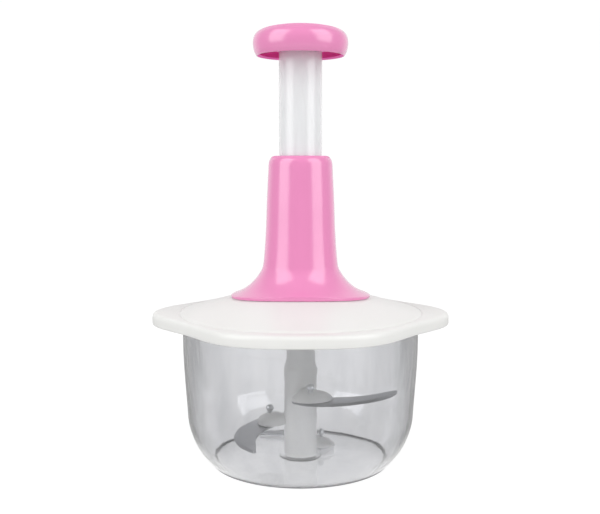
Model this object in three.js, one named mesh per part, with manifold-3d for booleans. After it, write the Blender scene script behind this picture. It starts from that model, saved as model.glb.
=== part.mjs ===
// A push-operated food chopper: a clear bowl, a scalloped lid, a handle tower with a plunger,
// a twisted rod that turns the plunger's stroke into spin, and a rotor with three curved blades.
// Millimetres, +Z up. The origin is the middle of the bowl's foot.
import * as THREE from 'three';
import { mergeVertices } from 'three/addons/utils/BufferGeometryUtils.js';
import Module from 'manifold-3d';

const wasm = await Module();
wasm.setup();

const TURN = 2 * Math.PI;
const QUARTER = Math.PI / 2;

// Fits and counts that the whole object shares
const fitGap = 0.3;
const overrun = 1;
const wideSides = 48;
const roundSides = 36;
const smallSides = 24;
const domeSides = 16;
const screwSides = 12;
const hexSides = 6;
const ballSteps = 6;
const sameSpot = 0.01;

// Bowl
const bowlRadius = 70.3;
const bowlFootRadius = 53.5;
const bowlHeight = 87.8;
const bowlWall = 2.2;
const bowlFloor = 1.7;
const footRingWidth = 6;
const footRecess = 0.4;
const floorDiscRadius = 12.6;
const floorDiscHeight = 0.3;
const pinBossWall = 1.6;
const pinBossHeight = 6;
const pinHoleFloor = 1.2;
const bowlCurveShares = [[0, 0], [0.51, 0.12], [0.804, 0.262], [0.884, 0.416], [0.988, 0.732], [1, 1]];
const bowlCurveSteps = 8;

// Centre pin and the bush that runs on it
const pinRadius = 2.8;
const pinLength = 30;
const pinTipHeight = 1.2;
const pinTipRadius = 1.4;
const pinBushWall = 2.1;
const pinBushHeight = 12;

// Rotor
const rotorRadius = 9.9;
const rotorNeckRadius = 8.6;
const rotorNeckLength = 15.6;
const rotorNeckTaper = 3;
const rotorFootGap = 0.4;
const rotorHeadGap = 2.7;
const socketDepth = 13.5;

// Blades, their pads and studs: each rise is from the bowl's floor, and the lowest blade is the shortest
const bladeThickness = 1.2;
const bladeGrind = 2.4;
const bladeWallGap = 10.8;
const bladeFootGap = 4.5;
const topBlade = { rise: 37.5, sweep: bowlRadius - bladeWallGap, spread: 34.2, angle: -72.5 };
const middleBlade = { rise: 19.4, sweep: bowlRadius - bladeWallGap, spread: 34.2, angle: 167.5 };
const bottomBlade = { rise: 1.3, sweep: bowlFootRadius - bladeFootGap, spread: 33.5, angle: 47.5 };
const bladeConvexShares = [
  [0.322, -0.149], [0.556, -0.166], [0.789, -0.083], [0.912, 0.033], [0.977, 0.166], [1, 0.299],
  [0.977, 0.448], [0.912, 0.597], [0.813, 0.738], [0.673, 0.862], [0.512, 0.95],
];
const bladeTipShares = [0.38, 1];
const bladeConcaveShares = [
  [0.327, 0.972], [0.404, 0.854], [0.485, 0.713], [0.535, 0.564], [0.532, 0.431], [0.491, 0.299],
  [0.433, 0.174], [0.374, 0.066],
];
const bladeCurveSteps = 14;
const padLength = 25;
const padDepth = 19;
const padHeight = 5.2;
const padSink = 1.5;
const padShift = 2;
const studRadius = 1.3;
const studPlace = 19.2;
const studBallRadius = 2.25;
const studHeadRadius = 2.4;
const studHeadHeight = 0.5;

// Lid: how far each part of its outline stands out past the bowl
const lidEarOverhang = 18.4;
const lidLobeOverhang = 11.7;
const lidNotchOverhang = 7.1;
const lidFrontOverhang = 10.7;
const lidRimDepth = 7.1;
const lidRimRound = 3;
const lidPlate = 2.7;
const lidWall = 2.2;
const grooveMargin = 1.8;
const grooveWidth = 1.4;
const grooveDepth = 0.5;
const deckRadius = 30;
const domeRise = 11.4;
const domeBend = 1.04;
const domeSteps = 4;
const plugDepth = 7.3;
const plugWall = 2.6;
const plugClearance = 1.3;
const gasketHeight = 2.4;
const gasketLip = 0.6;
const gasketGroove = 1;

// Clutch chamber under the lid
const chamberMargin = 1.7;
const chamberWall = 2.2;
const chamberDepth = 21.4;
const coverThickness = 2.5;
const coverBossRadius = 3.4;
const coverScrewRadius = 1.3;
const coverScrewHead = 2.5;
const coverScrewHeadHeight = 1.5;
const coverScrewLength = 9;
const coverScrewAngle = 30;

// Handle
const handleHeight = 81.2;
const handleTopRadius = 19;
const handleTopRound = 3;
const flangeRadius = 41.5;
const flangeFrontRadius = 34;
const flangeEdge = 1.2;
const handleWall = 2.4;
const boreWall = 2.1;
const boreTubeWall = 2.3;
const lipThickness = 3.3;
const handleCurveShares = [
  [1, -0.016], [0.756, 0.011], [0.556, 0.046], [0.347, 0.102], [0.187, 0.17], [0.142, 0.219],
  [0.102, 0.334], [0.069, 0.485], [0.044, 0.672],
];
const keyWidth = 2.6;
const keyDepth = 1.6;
const guideBushHeight = 6.4;
const handleScrewMargin = 4;
const handleScrewAngle = 90;
const handleScrewRadius = 1.5;
const handleScrewHead = 2.8;
const handleScrewHeadHeight = 1.9;
const handleScrewGrip = 3.6;
const handleBossRadius = 3.4;
const handleBossHeight = 4.6;

// Plunger
const plungerRadius = 12.65;
const plungerWall = 2;
const plungerReach = 69;
const plungerEndWall = 3;
const footHeight = 8;
const nutInset = 0.3;
const nutPinRadius = 1.3;
const nutPinLength = 9;

// Cap
const capGap = 58;
const capRadius = 27.8;
const capHeight = 18.5;
const capWall = 2.2;
const capSocketWall = 2.2;
const capSocketInset = 3;
const capBossRadius = 4.4;
const capCurveShares = [
  [0.93, 0], [0.975, 0.14], [1, 0.342], [0.993, 0.52], [0.954, 0.674], [0.877, 0.788], [0.709, 0.881],
  [0.4, 0.965],
];
const capScrewRadius = 1.7;
const capScrewHead = 3.4;
const capScrewHeadHeight = 2;
const capScrewLength = 8;

// Spiral rod, its bush and clip
const stripWidth = 8.4;
const stripThickness = 2.4;
const stripPitch = 45;
const stripTopMargin = 4.5;
const stripSteps = 40;
const stripColumns = 4;
const rodRadius = 4.6;
const rodCollarRadius = 6.1;
const rodCollarHeight = 1.6;
const rodHexWidth = 6.4;
const rodBushWall = 1.6;
const rodBushFlange = 8.4;
const rodBushFlangeHeight = 1.6;
const rodClipRadius = 7.2;
const rodClipHeight = 1;
const rodClipGroove = 1;
const rodClipMouth = 5;

// Clutch
const clutchRadius = 11.8;
const clutchHubRadius = 6.6;
const toothCount = 12;
const toothStepsEach = 4;
const toothHeight = 1.6;
const outputDiscHeight = 4;
const driverDiscHeight = 4;
const spindleRadius = 5.2;
const dogWidth = 8;
const dogReach = 11.5;

// Springs
const returnWire = 1.1;
const returnCurls = 10;
const returnMargin = 1.1;
const springSeatHeight = 1;
const clutchWire = 0.7;
const clutchCurls = 3;
const curlSteps = 8;
const wireSides = 5;

// Materials as they look in daylight
const pinkPlastic = { color: 0xee93c3, roughness: 0.35, metalness: 0 };
const whitePlastic = { color: 0xefefed, roughness: 0.45, metalness: 0 };
const plungerPlastic = { color: 0xe9ebed, roughness: 0.4, metalness: 0 };
const clearPlastic = { color: 0xbebec0, roughness: 0.1, metalness: 0, transparent: true, opacity: 0.35 };
const innerPlastic = { color: 0xd8d8d4, roughness: 0.5, metalness: 0 };
const bladeSteel = { color: 0x9a9b9e, roughness: 0.3, metalness: 1 };
const brightSteel = { color: 0xb4b6b8, roughness: 0.25, metalness: 1 };
const clearSilicone = { color: 0xdadcdc, roughness: 0.6, metalness: 0 };

// Levels, from the foot up
const rotorFoot = bowlFloor + floorDiscHeight + rotorFootGap;
const lidSeat = bowlHeight + fitGap;
const rimTop = lidSeat + lidPlate;
const rimBottom = rimTop - lidRimDepth;
const deckTop = rimTop + domeRise;
const deckUnder = deckTop - lidPlate;
const grooveRadius = bowlRadius + grooveMargin;
const lidEarRadius = bowlRadius + lidEarOverhang;
const lidLobeRadius = bowlRadius + lidLobeOverhang;
const lidNotchRadius = bowlRadius + lidNotchOverhang;
const lidFrontRadius = bowlRadius + lidFrontOverhang;
const plugBottom = lidSeat - plugDepth;
const chamberBottom = deckUnder - chamberDepth;
const coverTop = chamberBottom - fitGap;
const coverBottom = coverTop - coverThickness;
const rotorTop = coverBottom - rotorHeadGap;
const handleBase = deckTop + fitGap;
const handleTop = deckTop + handleHeight;
const guideTop = handleTop - lipThickness - fitGap;
const guideBottom = guideTop - guideBushHeight;
const footTop = guideBottom - fitGap;
const footBottom = footTop - footHeight;
const plungerTop = handleTop + plungerReach;
const capRim = handleTop + capGap;
const capTop = capRim + capHeight;
const bladePlaceRadius = rotorRadius + fitGap;
const padPlace = rotorNeckRadius - padSink + padDepth / 2;
const boreRadius = handleTopRadius - boreWall;
const handleScrewPlace = deckRadius - handleScrewMargin;
const chamberRadius = clutchRadius + chamberMargin;
const returnRadius = boreRadius - keyDepth - returnMargin;

// Pin levels, in the bowl's boss and in the rotor's bore
const pinBottom = pinHoleFloor + fitGap;
const pinTop = pinBottom + pinLength;
const pinBossTop = bowlFloor + pinBossHeight;
const pinBushBottom = pinBossTop + fitGap + rotorFootGap;
const pinBushTop = pinBushBottom + pinBushHeight;
const pinBushRadius = pinRadius + fitGap + pinBushWall;
const rotorBore = pinBushRadius + fitGap;

// Drive levels, from the cover up
const outputBottom = coverTop + fitGap;
const outputTop = outputBottom + outputDiscHeight;
const driverBottom = outputTop + fitGap;
const driverTop = driverBottom + toothHeight + driverDiscHeight;
const rodBushTop = deckTop;
const rodBushShoulder = deckUnder - fitGap;
const rodBushBottom = rodBushShoulder - rodBushFlangeHeight;
const rodBushRadius = rodRadius + fitGap + rodBushWall;
const rodCollarTop = rodBushBottom - fitGap;
const rodCollarBottom = rodCollarTop - rodCollarHeight;
const rodClipBottom = rodBushTop + fitGap;
const rodClipTop = rodClipBottom + rodClipHeight;
const stripBottom = rodClipTop + rodClipHeight;
const stripTop = footTop + stripTopMargin;

// A closed three.js surface as a solid: shared corners are merged and the faces point out
function solid(geometry) {
  const bare = geometry.clone();
  bare.deleteAttribute('normal');
  bare.deleteAttribute('uv');
  const welded = mergeVertices(bare);
  const places = welded.attributes.position;
  const corners = welded.index.array;
  const faces = [];
  let volume = 0;
  for (let i = 0; i < corners.length; i += 3) {
    const [a, b, c] = [corners[i], corners[i + 1], corners[i + 2]];
    if (a !== b && b !== c && c !== a) {
      const [p, q, r] = [a, b, c].map((k) => new THREE.Vector3().fromBufferAttribute(places, k));
      volume += p.dot(q.cross(r));
      faces.push([a, b, c]);
    }
  }
  const outward = volume > 0 ? faces : faces.map(([a, b, c]) => [a, c, b]);
  return new wasm.Manifold(new wasm.Mesh({
    numProp: 3,
    vertProperties: Float32Array.from(places.array),
    triVerts: Uint32Array.from(outward.flat()),
  }));
}

// A solid as a named mesh with a material of its own
function piece(name, body, look) {
  const { vertProperties, triVerts } = body.getMesh();
  const geometry = new THREE.BufferGeometry();
  geometry.setAttribute('position', new THREE.BufferAttribute(vertProperties, 3));
  geometry.setIndex(new THREE.BufferAttribute(triVerts, 1));
  geometry.computeVertexNormals();
  const mesh = new THREE.Mesh(geometry, new THREE.MeshStandardMaterial(look));
  mesh.name = name;
  return mesh;
}

// Turned surface from a profile of [radius, height] points that starts and ends on the axis
function turnedSurface(profile, sides) {
  const points = profile.map(([radius, height]) => new THREE.Vector2(radius, height));
  return new THREE.LatheGeometry(points, sides).rotateX(QUARTER);
}

// The same from a profile that goes round a ring and closes on itself
function ringSurface(profile, sides) {
  return turnedSurface([...profile, profile[0]], sides);
}

// Rectangular ring between two radii and two levels
function ring(inner, outer, bottom, top, sides = smallSides) {
  return solid(ringSurface([[inner, bottom], [outer, bottom], [outer, top], [inner, top]], sides));
}

// Upright round or many-sided bar
function post(radius, bottom, top, sides = smallSides, x = 0, y = 0) {
  const bar = new THREE.CylinderGeometry(radius, radius, top - bottom, sides).rotateX(QUARTER);
  return solid(bar.translate(x, y, (bottom + top) / 2));
}

// Upright hexagonal bar of a width across its flats
function hexBar(width, bottom, top) {
  return post(width / Math.sqrt(3), bottom, top, hexSides);
}

// Upright oval bar of a half width along X and a half depth along Y
function ovalBar(halfWidth, halfDepth, bottom, top) {
  const bar = new THREE.CylinderGeometry(halfWidth, halfWidth, top - bottom, wideSides).rotateX(QUARTER);
  return solid(bar.scale(1, halfDepth / halfWidth, 1).translate(0, 0, (bottom + top) / 2));
}

// Square-cornered block between two corners
function block(low, high) {
  const [x, y, z] = low.map((value, axis) => high[axis] - value);
  const box = new THREE.BoxGeometry(x, y, z);
  return solid(box.translate(...low.map((value, axis) => (value + high[axis]) / 2)));
}

// Bar along X between two places
function crossPin(radius, from, to, z) {
  const bar = new THREE.CylinderGeometry(radius, radius, to - from, screwSides).rotateZ(QUARTER);
  return solid(bar.translate((from + to) / 2, 0, z));
}

// Smooth curve through [radius, height] points
function smooth(points, steps) {
  const curve = new THREE.SplineCurve(points.map(([x, y]) => new THREE.Vector2(x, y)));
  return curve.getPoints(steps).map(({ x, y }) => [x, y]);
}

// A line of points moved sideways by a distance, to the left of its direction
function offsetLine(points, distance) {
  return points.map(([x, y], i) => {
    const before = points[Math.max(i - 1, 0)];
    const after = points[Math.min(i + 1, points.length - 1)];
    const along = new THREE.Vector2(after[0] - before[0], after[1] - before[1]).normalize();
    return [x - along.y * distance, y + along.x * distance];
  });
}

// Value on a line of points, read at a place along one axis: 0 is the radius and 1 the height
function readAt(points, place, axis) {
  const other = 1 - axis;
  for (let i = 1; i < points.length; i += 1) {
    const [a, b] = [points[i - 1], points[i]];
    if ((a[axis] - place) * (b[axis] - place) <= 0 && a[axis] !== b[axis]) {
      return a[other] + ((b[other] - a[other]) * (place - a[axis])) / (b[axis] - a[axis]);
    }
  }
  return points[points.length - 1][other];
}

// Radius of the lid's outline at an angle: two ears on the X axis, with low lobes and notches between them
function rimRadiusAt(angle) {
  const mean = (lidEarRadius + lidFrontRadius + 2 * lidNotchRadius + 2 * lidLobeRadius) / 6;
  const second = (lidEarRadius + lidNotchRadius - lidLobeRadius - lidFrontRadius) / 3;
  const fourth = (lidEarRadius - lidNotchRadius - lidLobeRadius + lidFrontRadius) / 3;
  const sixth = (lidEarRadius - 2 * lidNotchRadius + 2 * lidLobeRadius - lidFrontRadius) / 6;
  return mean + second * Math.cos(2 * angle) + fourth * Math.cos(4 * angle) + sixth * Math.cos(6 * angle);
}

// Draws a turned surface in from the ears' radius to the lid's outline, outside a start radius
function scallop(surface, startRadius) {
  const places = surface.attributes.position;
  for (let i = 0; i < places.count; i += 1) {
    const [x, y] = [places.getX(i), places.getY(i)];
    const radius = Math.hypot(x, y);
    if (radius > startRadius) {
      const scale = (radius - lidEarRadius + rimRadiusAt(Math.atan2(y, x))) / radius;
      places.setXY(i, x * scale, y * scale);
    }
  }
  return surface;
}

// Helix of round wire as one closed tube, its ends square to the wire
function coil(radius, wire, curls, bottom, top) {
  class Helix extends THREE.Curve {
    getPoint(t, target = new THREE.Vector3()) {
      const angle = TURN * curls * t;
      const height = THREE.MathUtils.lerp(bottom + wire / 2, top - wire / 2, t);
      return target.set(radius * Math.cos(angle), radius * Math.sin(angle), height);
    }
  }
  const corners = Array.from({ length: wireSides }, (_, i) => (
    new THREE.Vector2(wire / 2, 0).rotateAround(new THREE.Vector2(), (TURN * i) / wireSides)
  ));
  return solid(new THREE.ExtrudeGeometry(new THREE.Shape(corners), {
    steps: Math.round(curls * curlSteps),
    bevelEnabled: false,
    extrudePath: new Helix(),
  }));
}

// Screw with its head down and its thread up: the head's lower face is at the given level
function screw(radius, headRadius, headHeight, length) {
  return solid(turnedSurface([
    [0, 0], [headRadius, 0], [headRadius, headHeight], [radius, headHeight],
    [radius, headHeight + length], [0, headHeight + length],
  ], screwSides));
}

// Three places a third of a turn apart, from a first angle in degrees
function thirds(firstAngle) {
  return [0, 1, 2].map((step) => THREE.MathUtils.degToRad(firstAngle) + (step * TURN) / 3);
}

// Place on a circle about the axis
function onCircle(radius, angle) {
  return [radius * Math.cos(angle), radius * Math.sin(angle)];
}

// Bowl wall, outside and inside, from the foot to the rim
const bowlOutside = smooth(bowlCurveShares.map(([across, up]) => [
  bowlFootRadius + (bowlRadius - bowlFootRadius) * across,
  bowlHeight * up,
]), bowlCurveSteps);
const bowlInside = offsetLine(bowlOutside, bowlWall);
const rimInsideRadius = bowlInside[bowlInside.length - 1][0];

// Clear bowl with a foot ring, a low disc under the shaft and a boss for the pin
function makeBowl() {
  const floorCorner = [readAt(bowlInside, bowlFloor, 1), bowlFloor];
  const wallInside = bowlInside.filter(([, height]) => height > bowlFloor + bowlWall / 2);
  wallInside[wallInside.length - 1] = [rimInsideRadius, bowlHeight];
  const discTop = bowlFloor + floorDiscHeight;
  const holeRadius = pinRadius + fitGap;
  const bossRadius = holeRadius + pinBossWall;
  const recessRadius = bowlFootRadius - footRingWidth;
  return solid(turnedSurface([
    [0, footRecess], [recessRadius, footRecess], [recessRadius, 0],
    ...bowlOutside,
    ...wallInside.reverse(),
    floorCorner,
    [floorDiscRadius, bowlFloor], [floorDiscRadius, discTop], [bossRadius, discTop],
    [bossRadius, pinBossTop], [holeRadius, pinBossTop], [holeRadius, pinHoleFloor], [0, pinHoleFloor],
  ], roundSides));
}

// Steel pin in the bowl's boss, with a domed tip that carries the rotor
function makeCentrePin() {
  return solid(turnedSurface([
    [0, pinBottom], [pinRadius, pinBottom], [pinRadius, pinTop - pinTipHeight],
    [pinTipRadius, pinTop], [0, pinTop],
  ], smallSides));
}

// Bush pressed into the rotor's bore
function makePinBush() {
  return ring(pinRadius + fitGap, pinBushRadius, pinBushBottom, pinBushTop);
}

// Domed pad over a blade's root, with its flat side on the blade
function pad(blade) {
  const bottom = bowlFloor + blade.rise + bladeThickness + fitGap;
  const dome = new THREE.SphereGeometry(padHeight, domeSides, domeSides);
  dome.rotateX(QUARTER).scale(padDepth / (2 * padHeight), padLength / (2 * padHeight), 1);
  dome.translate(padPlace, padShift, bottom);
  const cutTop = bottom + padHeight + overrun;
  const above = block([0, -padLength, bottom], [padPlace + padDepth, padLength, cutTop]);
  const stud = post(studRadius + fitGap, bottom - overrun, cutTop, screwSides, studPlace);
  return solid(dome).intersect(above).subtract(stud).rotate([0, 0, blade.angle]);
}

// Hollow white shaft with its three pads, a hexagonal socket on top and a bore for the pin below
function makeRotor() {
  const neckTop = rotorTop - rotorNeckLength;
  const boreTop = pinTop + fitGap;
  const shaft = solid(turnedSurface([
    [0, boreTop], [rotorBore, boreTop], [rotorBore, rotorFoot], [rotorRadius, rotorFoot],
    [rotorRadius, neckTop - rotorNeckTaper], [rotorNeckRadius, neckTop], [rotorNeckRadius, rotorTop],
    [0, rotorTop],
  ], smallSides));
  const socket = hexBar(dogWidth + 2 * fitGap, rotorTop - socketDepth, rotorTop + overrun);
  const bore = post(rotorBore, rotorFoot - overrun, boreTop, smallSides);
  const pads = [topBlade, middleBlade, bottomBlade].map((blade) => pad(blade).subtract(bore));
  return pads.reduce((body, next) => body.add(next), shaft).subtract(socket);
}

// Corner points of a blade seen from above, with the stud's side along +X
function bladeOutline(blade) {
  const place = ([across, along]) => [across * blade.spread, along * blade.sweep];
  const convex = smooth(bladeConvexShares.map(place), bladeCurveSteps);
  const concave = smooth(bladeConcaveShares.map(place), bladeCurveSteps);
  return { convex, tip: place(bladeTipShares), concave };
}

// Curved blade: its convex edge is ground thin from above, less and less towards the tip and the root
function makeBlade(blade) {
  const { convex, tip, concave } = bladeOutline(blade);
  const edge = [...convex, tip];
  const ground = offsetLine(edge, bladeGrind).map(([x, y], i) => {
    const share = Math.sqrt(Math.sin((Math.PI * i) / (edge.length - 1)));
    const [fromX, fromY] = edge[i];
    return [THREE.MathUtils.lerp(fromX, x, share), THREE.MathUtils.lerp(fromY, y, share)];
  });
  const outline = [...edge, ...concave];
  const shape = new THREE.Shape(outline.map(([x, y]) => new THREE.Vector2(x, y)));
  const plate = new THREE.ExtrudeGeometry(shape, { depth: bladeThickness, bevelEnabled: false });
  const places = plate.attributes.position;
  for (let i = 0; i < places.count; i += 1) {
    const [atX, atY] = [places.getX(i), places.getY(i)];
    const spot = edge.findIndex(([x, y]) => Math.hypot(x - atX, y - atY) < sameSpot);
    if (spot >= 0 && places.getZ(i) > bladeThickness / 2) {
      places.setXY(i, ...ground[spot]);
    }
  }
  const shaftHole = post(bladePlaceRadius, -overrun, bladeThickness + overrun, smallSides);
  const studHole = post(studRadius + fitGap, -overrun, bladeThickness + overrun, screwSides, studPlace);
  return solid(plate).subtract(shaftHole).subtract(studHole);
}

// Stud with a ball on top of the pad, a neck through the pad and blade, and a flat head below
function makeStud() {
  const headTop = -fitGap;
  const headBottom = headTop - studHeadHeight;
  const ballLevel = bladeThickness + 2 * fitGap + padHeight + studBallRadius;
  const neckMeets = Math.asin(studRadius / studBallRadius);
  const ball = Array.from({ length: ballSteps + 1 }, (_, i) => {
    const angle = THREE.MathUtils.lerp(neckMeets, Math.PI, i / ballSteps);
    return [studBallRadius * Math.sin(angle), ballLevel - studBallRadius * Math.cos(angle)];
  });
  ball[ballSteps][0] = 0;
  return solid(turnedSurface([
    [0, headBottom], [studHeadRadius, headBottom], [studHeadRadius, headTop], [studRadius, headTop], ...ball,
  ], screwSides));
}

// Height of the lid's top between the deck and the groove
function domeHeight(radius) {
  const share = THREE.MathUtils.clamp((radius - deckRadius) / (grooveRadius - deckRadius), 0, 1);
  return deckTop - domeRise * share ** domeBend;
}

// The dome's line from the groove in to the deck, lowered by a distance
function domeLine(fromRadius, drop) {
  return Array.from({ length: domeSteps + 1 }, (_, i) => {
    const radius = THREE.MathUtils.lerp(fromRadius, deckRadius, i / domeSteps);
    return [radius, domeHeight(radius) - drop];
  });
}

const plugRadius = readAt(bowlInside, plugBottom, 1) - plugClearance;
const gasketLevel = (plugBottom + lidSeat) / 2;
const gasketGrooveHalf = gasketHeight / 2 + fitGap;
const coverBossPlace = chamberRadius + chamberWall / 2 + coverBossRadius;
const coverRadius = coverBossPlace + coverBossRadius;

// Lid: a domed plate with a scalloped rim, a plug that enters the bowl and a chamber for the clutch
function makeLid() {
  const plugInner = plugRadius - plugWall;
  const rimInner = lidEarRadius - lidWall;
  const deckHole = rodBushRadius + fitGap;
  const roundMiddle = lidRimRound * (1 - Math.SQRT1_2);
  const profile = [
    [deckHole, deckTop],
    ...domeLine(grooveRadius - grooveWidth, 0).reverse(),
    [grooveRadius - grooveWidth / 2, rimTop - grooveDepth], [grooveRadius + grooveWidth / 2, rimTop],
    [lidEarRadius - lidRimRound, rimTop], [lidEarRadius - roundMiddle, rimTop - roundMiddle],
    [lidEarRadius, rimTop - lidRimRound], [lidEarRadius, rimBottom], [rimInner, rimBottom],
    [rimInner, lidSeat], [plugRadius, lidSeat],
    [plugRadius, gasketLevel + gasketGrooveHalf], [plugRadius - gasketGroove, gasketLevel + gasketGrooveHalf],
    [plugRadius - gasketGroove, gasketLevel - gasketGrooveHalf], [plugRadius, gasketLevel - gasketGrooveHalf],
    [plugRadius, plugBottom], [plugInner, plugBottom],
    ...domeLine(plugInner, lidPlate),
    [deckHole, deckUnder],
  ];
  const shell = solid(scallop(ringSurface(profile, wideSides), grooveRadius + grooveWidth));
  const wallTop = deckUnder + lidPlate / 2;
  const chamber = ring(chamberRadius, chamberRadius + chamberWall, chamberBottom, wallTop);
  const coverHoleTop = coverBottom + coverScrewLength;
  const withBosses = thirds(coverScrewAngle).reduce((body, angle) => {
    const [x, y] = onCircle(coverBossPlace, angle);
    const boss = post(coverBossRadius, chamberBottom, wallTop, screwSides, x, y);
    const hole = post(coverScrewRadius + fitGap, chamberBottom - overrun, coverHoleTop, screwSides, x, y);
    return body.add(boss).subtract(hole);
  }, shell.add(chamber));
  const handleHole = handleScrewRadius + fitGap;
  return thirds(handleScrewAngle).reduce((body, angle) => {
    const [x, y] = onCircle(handleScrewPlace, angle);
    return body.subtract(post(handleHole, deckUnder - overrun, deckTop + overrun, screwSides, x, y));
  }, withBosses);
}

// Silicone ring round the plug, with a lip against the bowl
function makeGasket() {
  const inner = plugRadius - gasketGroove + fitGap;
  const outer = readAt(bowlInside, gasketLevel, 1) - fitGap;
  const half = gasketHeight / 2;
  return solid(ringSurface([
    [inner, gasketLevel - half], [outer - gasketLip, gasketLevel - half], [outer, gasketLevel],
    [outer - gasketLip, gasketLevel + half], [inner, gasketLevel + half],
  ], wideSides));
}

// Outer line of the handle, from past the flange's edge up to the tower's rounded top
function handleLine() {
  const curve = handleCurveShares.map(([across, up]) => {
    const radius = handleTopRadius + (flangeRadius - handleTopRadius) * across;
    return [radius, Math.max(deckTop + handleHeight * up, domeHeight(radius) + fitGap + flangeEdge)];
  });
  const roundMiddle = handleTopRound * (1 - Math.SQRT1_2);
  return [
    [flangeRadius + overrun, curve[0][1]], ...curve, [handleTopRadius, handleTop - handleTopRound],
    [handleTopRadius - roundMiddle, handleTop - roundMiddle], [handleTopRadius - handleTopRound, handleTop],
  ];
}

// Handle: a tower with a bore for the plunger that flares into an oval flange on the lid
function makeHandle() {
  const outside = handleLine();
  const under = domeLine(flangeRadius + overrun, -fitGap).reverse();
  const filled = solid(turnedSurface([[0, handleBase], ...under, ...outside, [0, handleTop]], roundSides));
  const low = handleBase - domeRise;
  const outline = ovalBar(flangeRadius, flangeFrontRadius, low, handleTop + overrun);
  const tubeOuter = boreRadius + boreTubeWall;
  const inside = offsetLine(outside, handleWall).filter(([radius]) => radius > tubeOuter);
  const hollow = solid(ringSurface([
    [tubeOuter, low], [flangeRadius + overrun, low], ...inside, [tubeOuter, inside[inside.length - 1][1]],
  ], roundSides));
  const hollowOutline = ovalBar(flangeRadius - handleWall, flangeFrontRadius - handleWall, low, handleTop);
  const lipBottom = handleTop - lipThickness;
  const bore = post(boreRadius, low, lipBottom, roundSides);
  const mouth = post(plungerRadius + fitGap, low, handleTop + overrun, roundSides);
  const skin = filled.intersect(outline).subtract(hollow.intersect(hollowOutline));
  const shell = skin.subtract(bore).subtract(mouth);
  const fastened = thirds(handleScrewAngle).reduce((body, angle) => {
    const [x, y] = onCircle(handleScrewPlace, angle);
    const boss = post(handleBossRadius, handleBase, handleBase + handleBossHeight, screwSides, x, y);
    const holeTop = handleBase + handleScrewGrip + fitGap;
    const hole = post(handleScrewRadius + fitGap, handleBase - overrun, holeTop, screwSides, x, y);
    return body.add(boss).subtract(hole);
  }, shell);
  const keyBottom = handleBase + springSeatHeight + fitGap;
  const keyTop = guideBottom - fitGap;
  const keys = [1, -1].map((side) => {
    const reach = boreRadius + boreTubeWall / 2;
    const [near, far] = [side * (boreRadius - keyDepth), side * reach].sort((a, b) => a - b);
    return block([-keyWidth / 2, near, keyBottom], [keyWidth / 2, far, keyTop]);
  });
  return keys.reduce((body, key) => body.add(key), fastened);
}

// Ring under the handle's lip that the plunger slides in
function makeGuideBush() {
  return ring(plungerRadius + fitGap, boreRadius - fitGap, guideBottom, guideTop, roundSides);
}

// Plunger tube with a foot that the handle's ribs keep from turning
function makePlungerTube() {
  const inner = plungerRadius - plungerWall;
  const footRadius = boreRadius - fitGap;
  const endUnder = plungerTop - plungerEndWall;
  const tube = solid(ringSurface([
    [inner, footBottom], [footRadius, footBottom], [footRadius, footTop], [plungerRadius, footTop],
    [plungerRadius, plungerTop], [capScrewRadius + fitGap, plungerTop], [capScrewRadius + fitGap, endUnder],
    [inner, endUnder],
  ], roundSides));
  const notchInner = boreRadius - keyDepth - fitGap;
  const notches = [1, -1].map((side) => {
    const [near, far] = [side * notchInner, side * (footRadius + overrun)].sort((a, b) => a - b);
    const half = keyWidth / 2 + fitGap;
    return block([-half, near, footBottom - overrun], [half, far, footTop + overrun]);
  });
  const pinHole = crossPin(nutPinRadius + fitGap, -footRadius - overrun, footRadius + overrun, nutPinLevel);
  return notches.reduce((body, notch) => body.subtract(notch), tube).subtract(pinHole);
}

const nutPinLevel = footBottom + footHeight / 2;
const nutPinOuter = boreRadius - 2 * fitGap;
const nutPinInner = nutPinOuter - nutPinLength;

// Flat bar twisted about the axis, at the rod's pitch; its angle depends on the height alone
function twistedBar(width, thickness, bottom, top, steps) {
  const bar = new THREE.BoxGeometry(width, thickness, top - bottom, stripColumns, 1, steps);
  bar.translate(0, 0, (bottom + top) / 2);
  const places = bar.attributes.position;
  for (let i = 0; i < places.count; i += 1) {
    const angle = (-TURN * places.getZ(i)) / stripPitch;
    const spot = new THREE.Vector2(places.getX(i), places.getY(i)).rotateAround(new THREE.Vector2(), angle);
    places.setXY(i, spot.x, spot.y);
  }
  return solid(bar);
}

// Nut in the plunger's foot, with the twisted slot that the rod runs through
function makeSpiralNut() {
  const bottom = footBottom + nutInset;
  const top = footTop - nutInset;
  const nut = post(plungerRadius - plungerWall - fitGap, bottom, top, smallSides);
  const gap = 2 * fitGap;
  const slotBottom = bottom - overrun;
  const slotTop = top + overrun;
  const steps = Math.ceil(((slotTop - slotBottom) * stripSteps) / (stripTop - stripBottom)) * 2;
  const slot = twistedBar(stripWidth + gap, stripThickness + gap, slotBottom, slotTop, steps);
  const half = nutPinRadius + fitGap;
  const pinHoles = [1, -1].map((side) => {
    const [from, to] = [side * (nutPinInner - fitGap), side * boreRadius].sort((a, b) => a - b);
    return crossPin(half, from, to, nutPinLevel);
  });
  return pinHoles.reduce((body, hole) => body.subtract(hole), nut.subtract(slot));
}

// Pin that holds the nut in the foot
function makeNutPin() {
  return crossPin(nutPinRadius, nutPinInner, nutPinOuter, 0);
}

// Outer line of the cap, from its rim up to the middle of the crown
function capLine() {
  const curve = capCurveShares.map(([across, up]) => [capRadius * across, capRim + capHeight * up]);
  return [...curve, [0, capTop]];
}

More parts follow.
